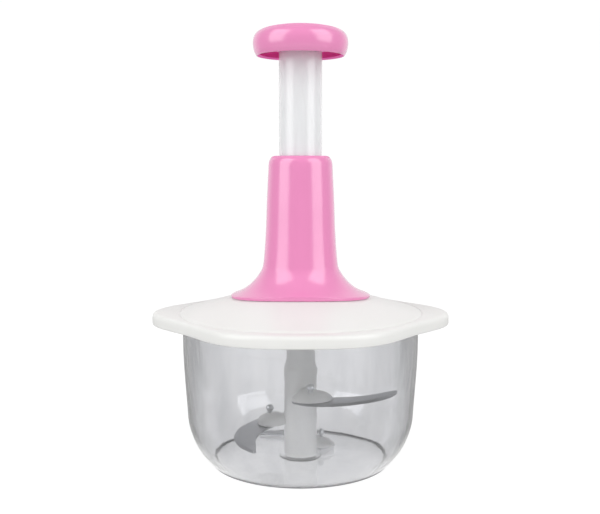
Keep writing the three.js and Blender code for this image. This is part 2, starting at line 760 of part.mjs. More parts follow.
// Palm cap: a mushroom shell with a socket for the plunger and a boss for its screw
function makeCap() {
  const outside = capLine();
  const inside = offsetLine(outside, capWall);
  const under = inside.slice(1, -1);
  const socketInner = plungerRadius + fitGap;
  const socketOuter = socketInner + capSocketWall;
  const socketBottom = capRim + capSocketInset;
  const bossBottom = plungerTop + fitGap;
  const screwTop = plungerTop - plungerEndWall + capScrewLength;
  const hole = capScrewRadius + fitGap;
  const outerUnder = under.filter(([radius]) => radius > socketOuter);
  const innerUnder = under.filter(([radius]) => radius < socketInner && radius > capBossRadius);
  return solid(turnedSurface([
    [0, screwTop + fitGap], [hole, screwTop + fitGap], [hole, bossBottom], [capBossRadius, bossBottom],
    [capBossRadius, readAt(inside, capBossRadius, 0)],
    ...innerUnder.reverse(),
    [socketInner, readAt(inside, socketInner, 0)], [socketInner, socketBottom], [socketOuter, socketBottom],
    [socketOuter, readAt(inside, socketOuter, 0)],
    ...outerUnder.reverse(),
    [outside[0][0] - capWall, capRim],
    ...outside,
  ], roundSides));
}

// Washer on the lid's deck that the return spring stands on
function makeSpringSeat() {
  const inner = rodClipRadius + fitGap;
  const outer = boreRadius - keyDepth - fitGap;
  return ring(inner, outer, handleBase, handleBase + springSeatHeight);
}

// Twisted rod with a round journal, a collar under its bush and a hexagonal end for the clutch
function makeSpiralRod() {
  const strip = twistedBar(stripWidth, stripThickness, stripBottom - rodClipHeight / 2, stripTop, stripSteps);
  const groove = rodRadius - rodClipGroove;
  const journal = solid(turnedSurface([
    [0, rodCollarBottom], [rodCollarRadius, rodCollarBottom], [rodCollarRadius, rodCollarTop],
    [rodRadius, rodCollarTop], [rodRadius, rodClipBottom - fitGap], [groove, rodClipBottom - fitGap],
    [groove, rodClipTop + fitGap], [rodRadius, rodClipTop + fitGap], [rodRadius, stripBottom],
    [0, stripBottom],
  ], smallSides));
  const hex = hexBar(rodHexWidth, driverBottom + toothHeight, rodCollarBottom + rodCollarHeight / 2);
  return journal.add(strip).add(hex);
}

// Flanged bush in the lid's deck that the rod turns in
function makeRodBush() {
  const inner = rodRadius + fitGap;
  return solid(ringSurface([
    [inner, rodBushBottom], [rodBushFlange, rodBushBottom], [rodBushFlange, rodBushShoulder],
    [rodBushRadius, rodBushShoulder], [rodBushRadius, rodBushTop], [inner, rodBushTop],
  ], smallSides));
}

// Open clip in the rod's groove, above the bush
function makeRodClip() {
  const inner = rodRadius - rodClipGroove + fitGap;
  const clip = ring(inner, rodClipRadius, rodClipBottom, rodClipTop);
  const half = rodClipMouth / 2;
  const low = [0, -half, rodClipBottom - overrun];
  return clip.subtract(block(low, [rodClipRadius + overrun, half, rodClipTop + overrun]));
}

// Height of the ratchet's saw teeth at an angle, as a share: a slow rise and a steep drop
function toothShare(angle) {
  const step = Math.round((angle / TURN + 1) * toothCount * toothStepsEach) % toothStepsEach;
  return step / (toothStepsEach - 1);
}

// Disc whose face at one level follows the saw teeth
function toothedDisc(inner, outer, flat, toothBase) {
  const surface = ringSurface(
    [[inner, flat], [outer, flat], [outer, toothBase], [inner, toothBase]],
    toothCount * toothStepsEach,
  );
  const places = surface.attributes.position;
  const middle = (flat + toothBase) / 2;
  for (let i = 0; i < places.count; i += 1) {
    const toothed = (places.getZ(i) - middle) * (toothBase - middle) > 0;
    if (toothed) {
      const share = toothShare(Math.atan2(places.getY(i), places.getX(i)));
      places.setZ(i, toothBase + toothHeight * share);
    }
  }
  return solid(surface);
}

// Upper half of the clutch, keyed to the rod's hexagonal end
function makeClutchDriver() {
  const disc = toothedDisc(clutchHubRadius - overrun, clutchRadius, driverTop, driverBottom);
  const hub = post(clutchHubRadius, driverBottom + toothHeight + fitGap, driverTop, smallSides);
  const bore = hexBar(rodHexWidth + 2 * fitGap, driverBottom - overrun, driverTop + overrun);
  return disc.add(hub).subtract(bore);
}

// Lower half of the clutch: a toothed disc on the cover with a spindle and a hexagonal dog below
function makeClutchOutput() {
  const disc = toothedDisc(clutchHubRadius, clutchRadius, outputBottom, outputTop);
  const middle = post(clutchHubRadius + overrun, outputBottom, outputTop, smallSides);
  const spindle = post(spindleRadius, coverBottom - fitGap, outputBottom + outputDiscHeight / 2, smallSides);
  const dog = hexBar(dogWidth, rotorTop - dogReach, coverBottom + coverThickness / 2);
  return disc.add(middle).add(spindle).add(dog);
}

// Cover that closes the chamber and carries the lower half of the clutch
function makeClutchCover() {
  const plate = ring(spindleRadius + fitGap, coverRadius, coverBottom, coverTop, roundSides);
  const hole = coverScrewRadius + fitGap;
  return thirds(coverScrewAngle).reduce((body, angle) => {
    const [x, y] = onCircle(coverBossPlace, angle);
    return body.subtract(post(hole, coverBottom - overrun, coverTop + overrun, screwSides, x, y));
  }, plate);
}

// Bodies: each group holds what moves together, above the bowl that stands still
const chopper = new THREE.Group();
const lidGroup = new THREE.Group();
const plungerGroup = new THREE.Group();
const driveGroup = new THREE.Group();
const rotorGroup = new THREE.Group();
chopper.add(lidGroup, plungerGroup, driveGroup, rotorGroup);

chopper.add(piece('bowl', makeBowl(), clearPlastic));
chopper.add(piece('centre_pin', makeCentrePin(), brightSteel));

lidGroup.add(piece('lid', makeLid(), whitePlastic));
lidGroup.add(piece('lid_gasket', makeGasket(), clearSilicone));
lidGroup.add(piece('clutch_cover', makeClutchCover(), whitePlastic));
lidGroup.add(piece('handle', makeHandle(), pinkPlastic));
lidGroup.add(piece('guide_bush', makeGuideBush(), innerPlastic));
lidGroup.add(piece('rod_bush', makeRodBush(), innerPlastic));
lidGroup.add(piece('spring_seat', makeSpringSeat(), brightSteel));
const returnSpringBottom = handleBase + springSeatHeight + fitGap;
const returnMiddle = returnRadius - returnWire / 2;
const returnSpring = coil(returnMiddle, returnWire, returnCurls, returnSpringBottom, footBottom - fitGap);
lidGroup.add(piece('return_spring', returnSpring, brightSteel));

thirds(coverScrewAngle).forEach((angle, index) => {
  const body = screw(coverScrewRadius, coverScrewHead, coverScrewHeadHeight, coverScrewLength - 2 * fitGap);
  const mesh = piece(`cover_screw_${index + 1}`, body, brightSteel);
  const level = coverBottom - fitGap - coverScrewHeadHeight;
  mesh.position.set(...onCircle(coverBossPlace, angle), level);
  lidGroup.add(mesh);
});

thirds(handleScrewAngle).forEach((angle, index) => {
  const length = lidPlate + fitGap + handleScrewGrip;
  const body = screw(handleScrewRadius, handleScrewHead, handleScrewHeadHeight, length);
  const mesh = piece(`handle_screw_${index + 1}`, body, brightSteel);
  const level = deckUnder - fitGap - handleScrewHeadHeight;
  mesh.position.set(...onCircle(handleScrewPlace, angle), level);
  lidGroup.add(mesh);
});

plungerGroup.add(piece('plunger_tube', makePlungerTube(), plungerPlastic));
plungerGroup.add(piece('spiral_nut', makeSpiralNut(), innerPlastic));
plungerGroup.add(piece('push_cap', makeCap(), pinkPlastic));
const capScrewBody = screw(capScrewRadius, capScrewHead, capScrewHeadHeight, capScrewLength);
const capScrew = piece('cap_screw', capScrewBody, brightSteel);
capScrew.position.z = plungerTop - plungerEndWall - fitGap - capScrewHeadHeight;
plungerGroup.add(capScrew);
[['nut_pin_right', 0], ['nut_pin_left', Math.PI]].forEach(([name, angle]) => {
  const pin = piece(name, makeNutPin(), brightSteel);
  pin.position.z = nutPinLevel;
  pin.rotation.z = angle;
  plungerGroup.add(pin);
});

driveGroup.add(piece('spiral_rod', makeSpiralRod(), brightSteel));
driveGroup.add(piece('rod_clip', makeRodClip(), brightSteel));
driveGroup.add(piece('clutch_driver', makeClutchDriver(), innerPlastic));
driveGroup.add(piece('clutch_output', makeClutchOutput(), innerPlastic));
const clutchSpringRadius = (rodCollarRadius + fitGap + rodBushFlange) / 2;
const clutchSpringBottom = driverTop + fitGap;
const clutchSpringTop = rodBushBottom - fitGap;
const clutchSpring = coil(clutchSpringRadius, clutchWire, clutchCurls, clutchSpringBottom, clutchSpringTop);
driveGroup.add(piece('clutch_spring', clutchSpring, brightSteel));

rotorGroup.add(piece('rotor_tube', makeRotor(), whitePlastic));
rotorGroup.add(piece('rotor_pin_bush', makePinBush(), innerPlastic));
[['top', topBlade], ['middle', middleBlade], ['bottom', bottomBlade]].forEach(([name, blade]) => {
  const arm = new THREE.Group();
  arm.position.z = bowlFloor + blade.rise;
  arm.rotation.z = THREE.MathUtils.degToRad(blade.angle);
  arm.add(piece(`blade_${name}`, makeBlade(blade), bladeSteel));
  const stud = piece(`blade_stud_${name}`, makeStud(), brightSteel);
  stud.position.x = studPlace;
  arm.add(stud);
  rotorGroup.add(arm);
});

export default chopper;
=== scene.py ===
"""A hand-pressed food chopper, dressed for a soft studio photograph.

A clear bowl stands on its foot. A white lid with two ears closes it, and carries a pink tower. A milky
plunger with a pink palm cap slides in the tower, and turns a white shaft with three curved steel blades.
Sizes are in millimetres and come from the frame where it has them. The axis of the object is the Z axis.
"""
import logging
import math
from dataclasses import dataclass, field, replace
from enum import Enum
from typing import Callable, Sequence

import bmesh
import bpy
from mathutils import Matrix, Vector


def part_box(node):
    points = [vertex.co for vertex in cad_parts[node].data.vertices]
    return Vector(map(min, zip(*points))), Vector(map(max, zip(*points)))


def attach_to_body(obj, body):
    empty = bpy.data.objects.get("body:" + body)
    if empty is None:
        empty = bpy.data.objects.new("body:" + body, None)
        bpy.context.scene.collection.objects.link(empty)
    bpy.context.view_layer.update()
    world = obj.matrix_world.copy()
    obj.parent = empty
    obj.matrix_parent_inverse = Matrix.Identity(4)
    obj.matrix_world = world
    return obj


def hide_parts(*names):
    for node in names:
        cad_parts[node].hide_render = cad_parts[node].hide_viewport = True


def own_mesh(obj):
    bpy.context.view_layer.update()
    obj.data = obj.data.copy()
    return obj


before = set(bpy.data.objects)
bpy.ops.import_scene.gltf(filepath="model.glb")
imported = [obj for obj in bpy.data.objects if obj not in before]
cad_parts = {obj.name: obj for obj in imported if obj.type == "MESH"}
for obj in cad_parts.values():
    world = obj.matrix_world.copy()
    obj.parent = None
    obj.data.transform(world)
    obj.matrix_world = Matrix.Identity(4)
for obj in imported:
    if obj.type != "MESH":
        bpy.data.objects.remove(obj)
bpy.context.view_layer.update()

MM = 0.001
TURN = 2 * math.pi
WHITE = "#FFFFFF"

# The gap between neighbouring pieces.
FIT_GAP = 0.3
# Points nearer than this become one.
WELD = 0.0005
# Faces that meet at more than this angle keep a sharp edge.
SHARP_ANGLE = math.radians(38)
# A rounded corner takes at most this share of each of its sides.
CORNER_SHARE = 0.49

# Of every finish: the least that the slow variation is drawn out, how strong the repeats of the slow and the
# fine pattern are, their product where the roughness is highest, and the roughness of a clear skin.
LEAST_STRETCH = 0.2
SLOW_CONTRAST = 0.6
FINE_CONTRAST = 0.5
FULL_WEAR = 0.6
COAT_ROUGHNESS = 0.17

Point = tuple[float, float]
Place = tuple[float, float, float]
Line = Sequence[Point]
Sizes = tuple[float, ...]
Faces = list[tuple[int, ...]]
Solid = tuple[list[Place], Faces]
Piece = bpy.types.Object
Tree = bpy.types.NodeTree

log = logging.getLogger("food_chopper")


class Sides(Enum):
    """How many sides a turned piece has, by how large it shows."""

    WIDE = 192
    ROUND = 128
    SMALL = 64
    TINY = 32


class Grain(Enum):
    """The way that a surface's fine pattern runs."""

    EVEN = (1.0, 1.0, 1.0)
    ALONG_X = (0.04, 1.0, 1.0)
    ALONG_Z = (1.0, 1.0, 0.05)
    ROUND_Z = (0.25, 0.25, 4.0)
    TALL = (1.0, 1.0, 0.3)


def linear(hex_colour: str) -> Sizes:
    """Turn an sRGB hex colour, "#RRGGBB", to the four linear values that a shader takes."""
    shares = [int(hex_colour[start:start + 2], 16) / 255 for start in (1, 3, 5)]
    return (*(s / 12.92 if s <= 0.04045 else ((s + 0.055) / 1.055) ** 2.4 for s in shares), 1.0)


def add_node(tree: Tree, kind: str, links: dict[str, object], **settings: object) -> bpy.types.Node:
    """Add a node with its settings and links.

    Args:
        tree: The material's or the world's node tree.
        kind: The node's type name.
        links: For each input, by name or number, a socket to link from or a value to set.
        settings: The node's own properties.

    Returns:
        The new node.
    """
    node = tree.nodes.new(kind)
    for name, value in settings.items():
        setattr(node, name, value)
    for name, value in links.items():
        socket = node.inputs[int(name)] if name.isdigit() else node.inputs[name]
        if isinstance(value, bpy.types.NodeSocket):
            tree.links.new(value, socket)
        else:
            socket.default_value = value
    return node


def empty_tree(owner: bpy.types.ID) -> Tree:
    """Give the empty node tree of a new material or world.

    Args:
        owner: The material or world.

    Returns:
        Its node tree.
    """
    owner.use_nodes = True
    owner.node_tree.nodes.clear()
    return owner.node_tree


def add_object(name: str, data: bpy.types.ID) -> Piece:
    """Put a mesh, light or camera into the scene.

    Args:
        name: The object's name.
        data: The mesh, light or camera.

    Returns:
        The object.
    """
    thing = bpy.data.objects.new(name, data)
    bpy.context.scene.collection.objects.link(thing)
    return thing


@dataclass(frozen=True)
class Finish:
    """A surface's finish: its shader values and the fine pattern that its making left.

    Attributes:
        name: The material's name.
        colour: Main colour, as sRGB hex.
        other_colour: The colour that the slow variation leans to, as sRGB hex.
        mottle: Size of the slow variation in millimetres.
        roughness: Lowest and highest roughness over the surface.
        grain: Spacing of the fine pattern in millimetres.
        grain_depth: Height of the fine pattern in millimetres.
        octaves: How many times the patterns repeat at half their size.
        direction: The way that the patterns run.
        metallic: 1 for a metal.
        ior: Index of refraction. A metal keeps the default.
        transmission: Share of the light that goes through.
        subsurface: Share of the light that scatters inside.
        scatter: How far the scattered light goes, in millimetres.
        coat: Weight of a clear skin on top.
        anisotropy: How far a metal's gloss is drawn out.
        absorption: How much light a metre of it takes, as a natural logarithm.
    """

    name: str
    colour: str
    other_colour: str
    mottle: float = 20.0
    roughness: Point = (0.3, 0.4)
    grain: float = 0.8
    grain_depth: float = 0.01
    octaves: float = 2.0
    direction: Grain = Grain.EVEN
    metallic: float = 0.0
    ior: float = 1.5
    transmission: float = 0.0
    subsurface: float = 0.0
    scatter: float = 1.0
    coat: float = 0.0
    anisotropy: float = 0.0
    absorption: float = 0.0

    def material(self) -> bpy.types.Material:
        """Give the material, which is made when the first piece asks for it."""
        return bpy.data.materials.get(self.name) or self.build()

    def build(self) -> bpy.types.Material:
        """Make the material.

        Returns:
            The material, with its colour, roughness and bump drawn from patterns of real size.
        """
        material = bpy.data.materials.new(self.name)
        tree = empty_tree(material)
        place = add_node(tree, "ShaderNodeTexCoord", {}).outputs["Object"]
        stretched = [max(share, LEAST_STRETCH) for share in self.direction.value]
        slow, fine = (add_node(tree, "ShaderNodeTexNoise", {
            "Vector": add_node(tree, "ShaderNodeMapping", {
                "Vector": place, "Scale": [share / (size * MM) for share in shares],
            }).outputs["Vector"],
            "Scale": 1.0, "Detail": self.octaves, "Roughness": contrast,
        }).outputs["Fac"] for shares, size, contrast in (
            (stretched, self.mottle, SLOW_CONTRAST),
            (self.direction.value, self.grain, FINE_CONTRAST),
        ))
        tint = add_node(tree, "ShaderNodeMix", {
            "Factor": slow, "6": linear(self.colour), "7": linear(self.other_colour),
        }, data_type="RGBA").outputs[2]
        wear = add_node(tree, "ShaderNodeMath", {"0": slow, "1": fine}, operation="MULTIPLY").outputs["Value"]
        rough = add_node(tree, "ShaderNodeMapRange", {
            "Value": wear, "From Min": 0.0, "From Max": FULL_WEAR,
            "To Min": self.roughness[0], "To Max": self.roughness[1],
        }).outputs["Result"]
        bump = add_node(tree, "ShaderNodeBump", {
            "Height": fine, "Distance": self.grain_depth * MM, "Strength": 1.0,
        }).outputs["Normal"]
        shader = add_node(tree, "ShaderNodeBsdfPrincipled", {
            "Base Color": tint, "Roughness": rough, "Normal": bump,
            "Metallic": self.metallic, "IOR": self.ior, "Transmission Weight": self.transmission,
            "Subsurface Weight": self.subsurface, "Subsurface Scale": self.scatter * MM,
            "Subsurface Radius": (1.0, 1.0, 1.0), "Coat Weight": self.coat,
            "Coat Roughness": COAT_ROUGHNESS, "Anisotropic": self.anisotropy,
        }).outputs["BSDF"]
        output = add_node(tree, "ShaderNodeOutputMaterial", {"Surface": shader})
        if self.absorption:
            depth = add_node(tree, "ShaderNodeVolumeAbsorption", {
                "Color": (0.0, 0.0, 0.0, 1.0), "Density": self.absorption,
            }).outputs["Volume"]
            tree.links.new(depth, output.inputs["Volume"])
        return material


# Injection-moulded polypropylene, dyed pink, from a polished mould: slow faint flow marks, and a glossy skin
# that draws soft pale bands down its sides.
PINK_POLYPROPYLENE = Finish(
    name="moulded_pink_polypropylene", colour="#EA8DBE", other_colour="#E78ABB", mottle=26.0,
    roughness=(0.21, 0.265), grain=9.0, grain_depth=0.002, octaves=1.0, ior=1.49, coat=0.85,
)

# The cap's crown and the tower's mouth: moulded against blasted steel, so they are satin and throw no glare.
SATIN_PINK_POLYPROPYLENE = Finish(
    name="satin_pink_polypropylene", colour="#EA8DBE", other_colour="#E78ABB", mottle=26.0,
    roughness=(0.5, 0.6), grain=1.2, grain_depth=0.004, ior=1.49,
)

# The cap's inside: the same blasted finish, in a deeper pink painted for the light soaking through its wall.
PINK_PAINTED_BOUNCE_LIGHT = replace(
    SATIN_PINK_POLYPROPYLENE, name="satin_pink_painted_bounce_light", colour="#FF70C6", other_colour="#F86AC0",
)

# Moulded polypropylene in natural white, for the lid: soft and bright, because light goes into it.
WHITE_POLYPROPYLENE = Finish(
    name="moulded_white_polypropylene", colour="#E9E9E7", other_colour="#E5E5E2", mottle=30.0,
    roughness=(0.3, 0.36), grain=12.0, grain_depth=0.004, octaves=0.0, ior=1.49, subsurface=0.15, scatter=3.0,
)

# Injection-moulded styrene blend of the shaft, polished mould, with a clear gloss: the whitest piece, as
# painted light.
WHITE_STYRENE_PAINTED_LIGHT = Finish(
    name="white_styrene_painted_light", colour="#FAFAF9", other_colour="#F4F4F2", mottle=24.0,
    roughness=(0.29, 0.35), grain=9.0, grain_depth=0.003, octaves=0.0, ior=1.53, subsurface=0.3, scatter=3.0,
)

# Extruded milky polypropylene of the plunger: cooler, glossier, and half clear, so light soaks into it.
MILKY_POLYPROPYLENE = Finish(
    name="extruded_milky_polypropylene", colour="#F1F3F5", other_colour="#ECEEF0", mottle=18.0,
    roughness=(0.21, 0.265), grain=5.0, grain_depth=0.001, octaves=0.0, direction=Grain.ALONG_Z, ior=1.49,
    subsurface=0.5, scatter=8.0, coat=0.4,
)

# Moulded clear styrene acrylonitrile, polished: a faint grey cast, and slow waves that bend what is behind.
CLEAR_STYRENE = Finish(
    name="moulded_clear_styrene", colour="#FBFBFC", other_colour="#E6E7EA", mottle=12.0, direction=Grain.TALL,
    roughness=(0.0, 0.03), grain=8.0, grain_depth=0.08, ior=1.57, transmission=1.0, absorption=14.0, coat=1.0,
)

# The foot's edge, left matt by the mould so that it grips; its grey is a painted contact shadow round the
# base.
STYRENE_PAINTED_CONTACT_SHADOW = Finish(
    name="matt_styrene_painted_contact_shadow", colour="#8C8C90", other_colour="#78787C", mottle=5.0,
    roughness=(0.5, 0.65), grain=0.9, ior=1.57, transmission=0.35,
)

# Stainless blade steel, ground along its length: grey, with a drawn-out sheen.
GROUND_STAINLESS = Finish(
    name="ground_stainless_sheet", colour="#BABBBF", other_colour="#A9AAAE", mottle=9.0,
    roughness=(0.3, 0.42), grain=0.5, grain_depth=0.006, direction=Grain.ALONG_X, metallic=1.0,
    anisotropy=0.3,
)

# Turned and polished steel of the studs, pin, rod and screws: brighter, with rings from the tool.
TURNED_STEEL = Finish(
    name="turned_bright_steel", colour="#E4E5E7", other_colour="#D6D8DB", mottle=6.0,
    roughness=(0.34, 0.46), grain=0.35, grain_depth=0.003, direction=Grain.ROUND_Z, metallic=1.0,
)

# Hard-drawn spring wire, drawn through a die: darker, with fine marks that run round the coils.
DRAWN_WIRE = Finish(
    name="drawn_spring_wire", colour="#C9CACD", other_colour="#B9BABE", mottle=4.0,
    roughness=(0.32, 0.42), grain=0.3, grain_depth=0.002, direction=Grain.ROUND_Z, metallic=1.0,
)

# Moulded natural acetal of the bushes, nut and clutch: plain, close-grained and slightly waxy.
MOULDED_ACETAL = Finish(
    name="moulded_natural_acetal", colour="#DEDEDA", other_colour="#D5D5D0", mottle=12.0,
    roughness=(0.4, 0.52), grain=0.7, grain_depth=0.008, ior=1.48, subsurface=0.15,
)

# Moulded silicone of the gasket: cloudy, soft to look at, and dull.
CLOUDY_SILICONE = Finish(
    name="moulded_cloudy_silicone", colour="#E2E4E4", other_colour="#DADCDC", mottle=10.0,
    roughness=(0.5, 0.62), grain=0.6, ior=1.41, transmission=0.25, subsurface=0.3, scatter=2.0,
)


def node_size(node: str) -> tuple[Place, Place]:
    """Give a frame node's lowest and highest corners in millimetres."""
    low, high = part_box(node)
    return tuple(value / MM for value in low), tuple(value / MM for value in high)


def spread(start: float, end: float, steps: int) -> list[float]:
    """Give evenly spaced values from a start to an end, one more than the steps."""
    return [start + (end - start) * step / steps for step in range(steps + 1)]


def catmull(before: float, start: float, end: float, after: float, share: float) -> float:
    """Give the value of a smooth curve between the middle two of four values.

    Args:
        before: The value before the stretch.
        start: The value at its start.
        end: The value at its end.
        after: The value after it.
        share: How far along the stretch, from 0 to 1.

    Returns:
        The value there.
    """
    first, second, rise = (end - before) / 2, (after - start) / 2, end - start
    bend = (first + second - 2 * rise) * share + 3 * rise - 2 * first - second
    return (bend * share + first) * share + start


def spline(points: Line, steps: int) -> list[Point]:
    """Draw a smooth line through some points.

    Args:
        points: The points, as two lengths each.
        steps: How many equal stretches to cut it in.

    Returns:
        One point more than the stretches.
    """
    line = []
    last = len(points) - 1
    for reach in spread(0, last, steps):
        start = min(int(reach), last - 1)
        around = [points[min(max(start + shift, 0), last)] for shift in (-1, 0, 1, 2)]
        line.append(tuple(catmull(*[point[axis] for point in around], reach - start) for axis in (0, 1)))
    return line


def offset(points: Line, distance: float) -> list[Point]:
    """Move a line sideways, to the left of its direction.

    Args:
        points: The line's points.
        distance: How far, in millimetres.

    Returns:
        The moved points.
    """
    moved = []
    for before, (x, y), after in zip([points[0], *points], points, [*points[1:], points[-1]]):
        along = (Vector(after) - Vector(before)).normalized()
        moved.append((x - along.y * distance, y + along.x * distance))
    return moved


def rounded(
    corners: Line, radii: Sequence[float], steps: int = 5, closed: bool = False,
) -> list[Point]:
    """Round the corners of an outline.

    Args:
        corners: The outline's corners.
        radii: Each corner's rounding radius, 0 for a sharp one.
        steps: Stretches in each rounding.
        closed: Whether the last corner joins the first.

    Returns:
        The rounded outline's points.
    """
    outline = []
    last = len(corners) - 1
    for index, (corner, radius) in enumerate(zip(corners, radii, strict=True)):
        if radius == 0 or (not closed and index in (0, last)):
            outline.append(corner)
            continue
        here = Vector(corner)
        to_before = Vector(corners[index - 1]) - here
        to_after = Vector(corners[(index + 1) % (last + 1)]) - here
        longest = CORNER_SHARE * min(to_before.length, to_after.length)
        cut = min(radius / math.tan(to_before.angle(to_after) / 2), longest)
        first, end = here + to_before.normalized() * cut, here + to_after.normalized() * cut
        for share in spread(0, 1, steps):
            spot = first * (1 - share) ** 2 + here * 2 * share * (1 - share) + end * share ** 2
            outline.append((spot.x, spot.y))
    return outline


def read_at(points: Line, height: float) -> float:
    """Read the radius of a line at a height.

    Args:
        points: The line's points, as radius and height.
        height: The height to read at.

    Returns:
        The radius there.
    """
    for (r0, z0), (r1, z1) in zip(points, points[1:]):
        if min(z0, z1) <= height <= max(z0, z1) and z0 != z1:
            return r0 + (r1 - r0) * (height - z0) / (z1 - z0)
    return points[-1][0]


def skin(rows: int, count: int, joined: bool = False, round_rows: bool = True) -> Faces:
    """Join rows of points with four-sided faces.

    Args:
        rows: How many rows there are.
        count: How many points each row has.
        joined: Whether the last row joins the first.
        round_rows: Whether the last point of a row joins its first.

    Returns:
        The faces.
    """
    faces = []
    for row in range(rows if joined else rows - 1):
        here, there = row * count, (row + 1) % rows * count
        for k in range(count if round_rows else count - 1):
            after = (k + 1) % count
            faces.append((here + k, here + after, there + after, there + k))
    return faces


def tube(rings: Sequence[Sequence[Place]]) -> Solid:
    """Join rings of points to a tube with closed ends.

    Args:
        rings: The rings, each with the same number of places.

    Returns:
        The places and the faces.
    """
    places = [place for ring in rings for place in ring]
    count = len(rings[0])
    ends = [tuple(range(count)), tuple(range(len(places) - count, len(places)))]
    return places, skin(len(rings), count) + ends


def sweep(section: Callable[[float], Line], sides: Sides, closed: bool = True) -> Solid:
    """Take a section round the axis.

    Args:
        section: Gives the section at an angle, as points of radius and height.
        sides: How many sides it has.
        closed: Whether the section's last point joins its first.

    Returns:
        The places and the faces.
    """
    places = []
    for side in range(sides.value):
        angle = TURN * side / sides.value
        places += [(r * math.cos(angle), r * math.sin(angle), z) for r, z in section(angle)]
    return places, skin(sides.value, len(places) // sides.value, joined=True, round_rows=closed)


def make_piece(name: str, solid: Solid, finish: Finish) -> Piece:
    """Make a mesh object.

    Args:
        name: The object's name.
        solid: Its places in millimetres, and the points of each face by number.
        finish: What it is made of.

    Returns:
        The object, smooth apart from its real edges.
    """
    places, faces = solid
    mesh = bpy.data.meshes.new(name)
    mesh.from_pydata([[value * MM for value in place] for place in places], [], faces)
    mesh.validate()
    shape = bmesh.new()
    shape.from_mesh(mesh)
    bmesh.ops.remove_doubles(shape, verts=shape.verts, dist=WELD * MM)
    bmesh.ops.recalc_face_normals(shape, faces=shape.faces)
    shape.to_mesh(mesh)
    shape.free()
    mesh.materials.append(finish.material())
    mesh.polygons.foreach_set("use_smooth", [True] * len(mesh.polygons))
    mesh.set_sharp_from_angle(angle=SHARP_ANGLE)
    return add_object(name, mesh)


def turn(
    name: str, profile: Line, finish: Finish, sides: Sides = Sides.ROUND, closed: bool = True,
) -> Piece:
    """Make a piece by turning a profile, given as radius and height, about the axis."""
    return make_piece(name, sweep(lambda angle: profile, sides, closed), finish)


def attach(piece: Piece, body: str, node: str = "") -> None:
    """Let a piece move with a body, and hide the frame node that it stands for.

    Args:
        piece: The finished piece.
        body: The body that it moves with.
        node: The frame node that it replaces, where it replaces one.
    """
    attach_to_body(piece, body)
    if node:
        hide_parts(node)
    log.info("made %s, which moves with %s and has %d faces", piece.name, body, len(piece.data.polygons))


def dress(finish: Finish, *nodes: str) -> None:
    """Give frame nodes a better material in each of their slots.

    Args:
        finish: What they are made of.
        nodes: The nodes' names.
    """
    for node in nodes:
        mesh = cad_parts[node].data
        for index in range(len(mesh.materials)):
            mesh.materials[index] = finish.material()
        log.info("dressed %s as %s", node, finish.name)


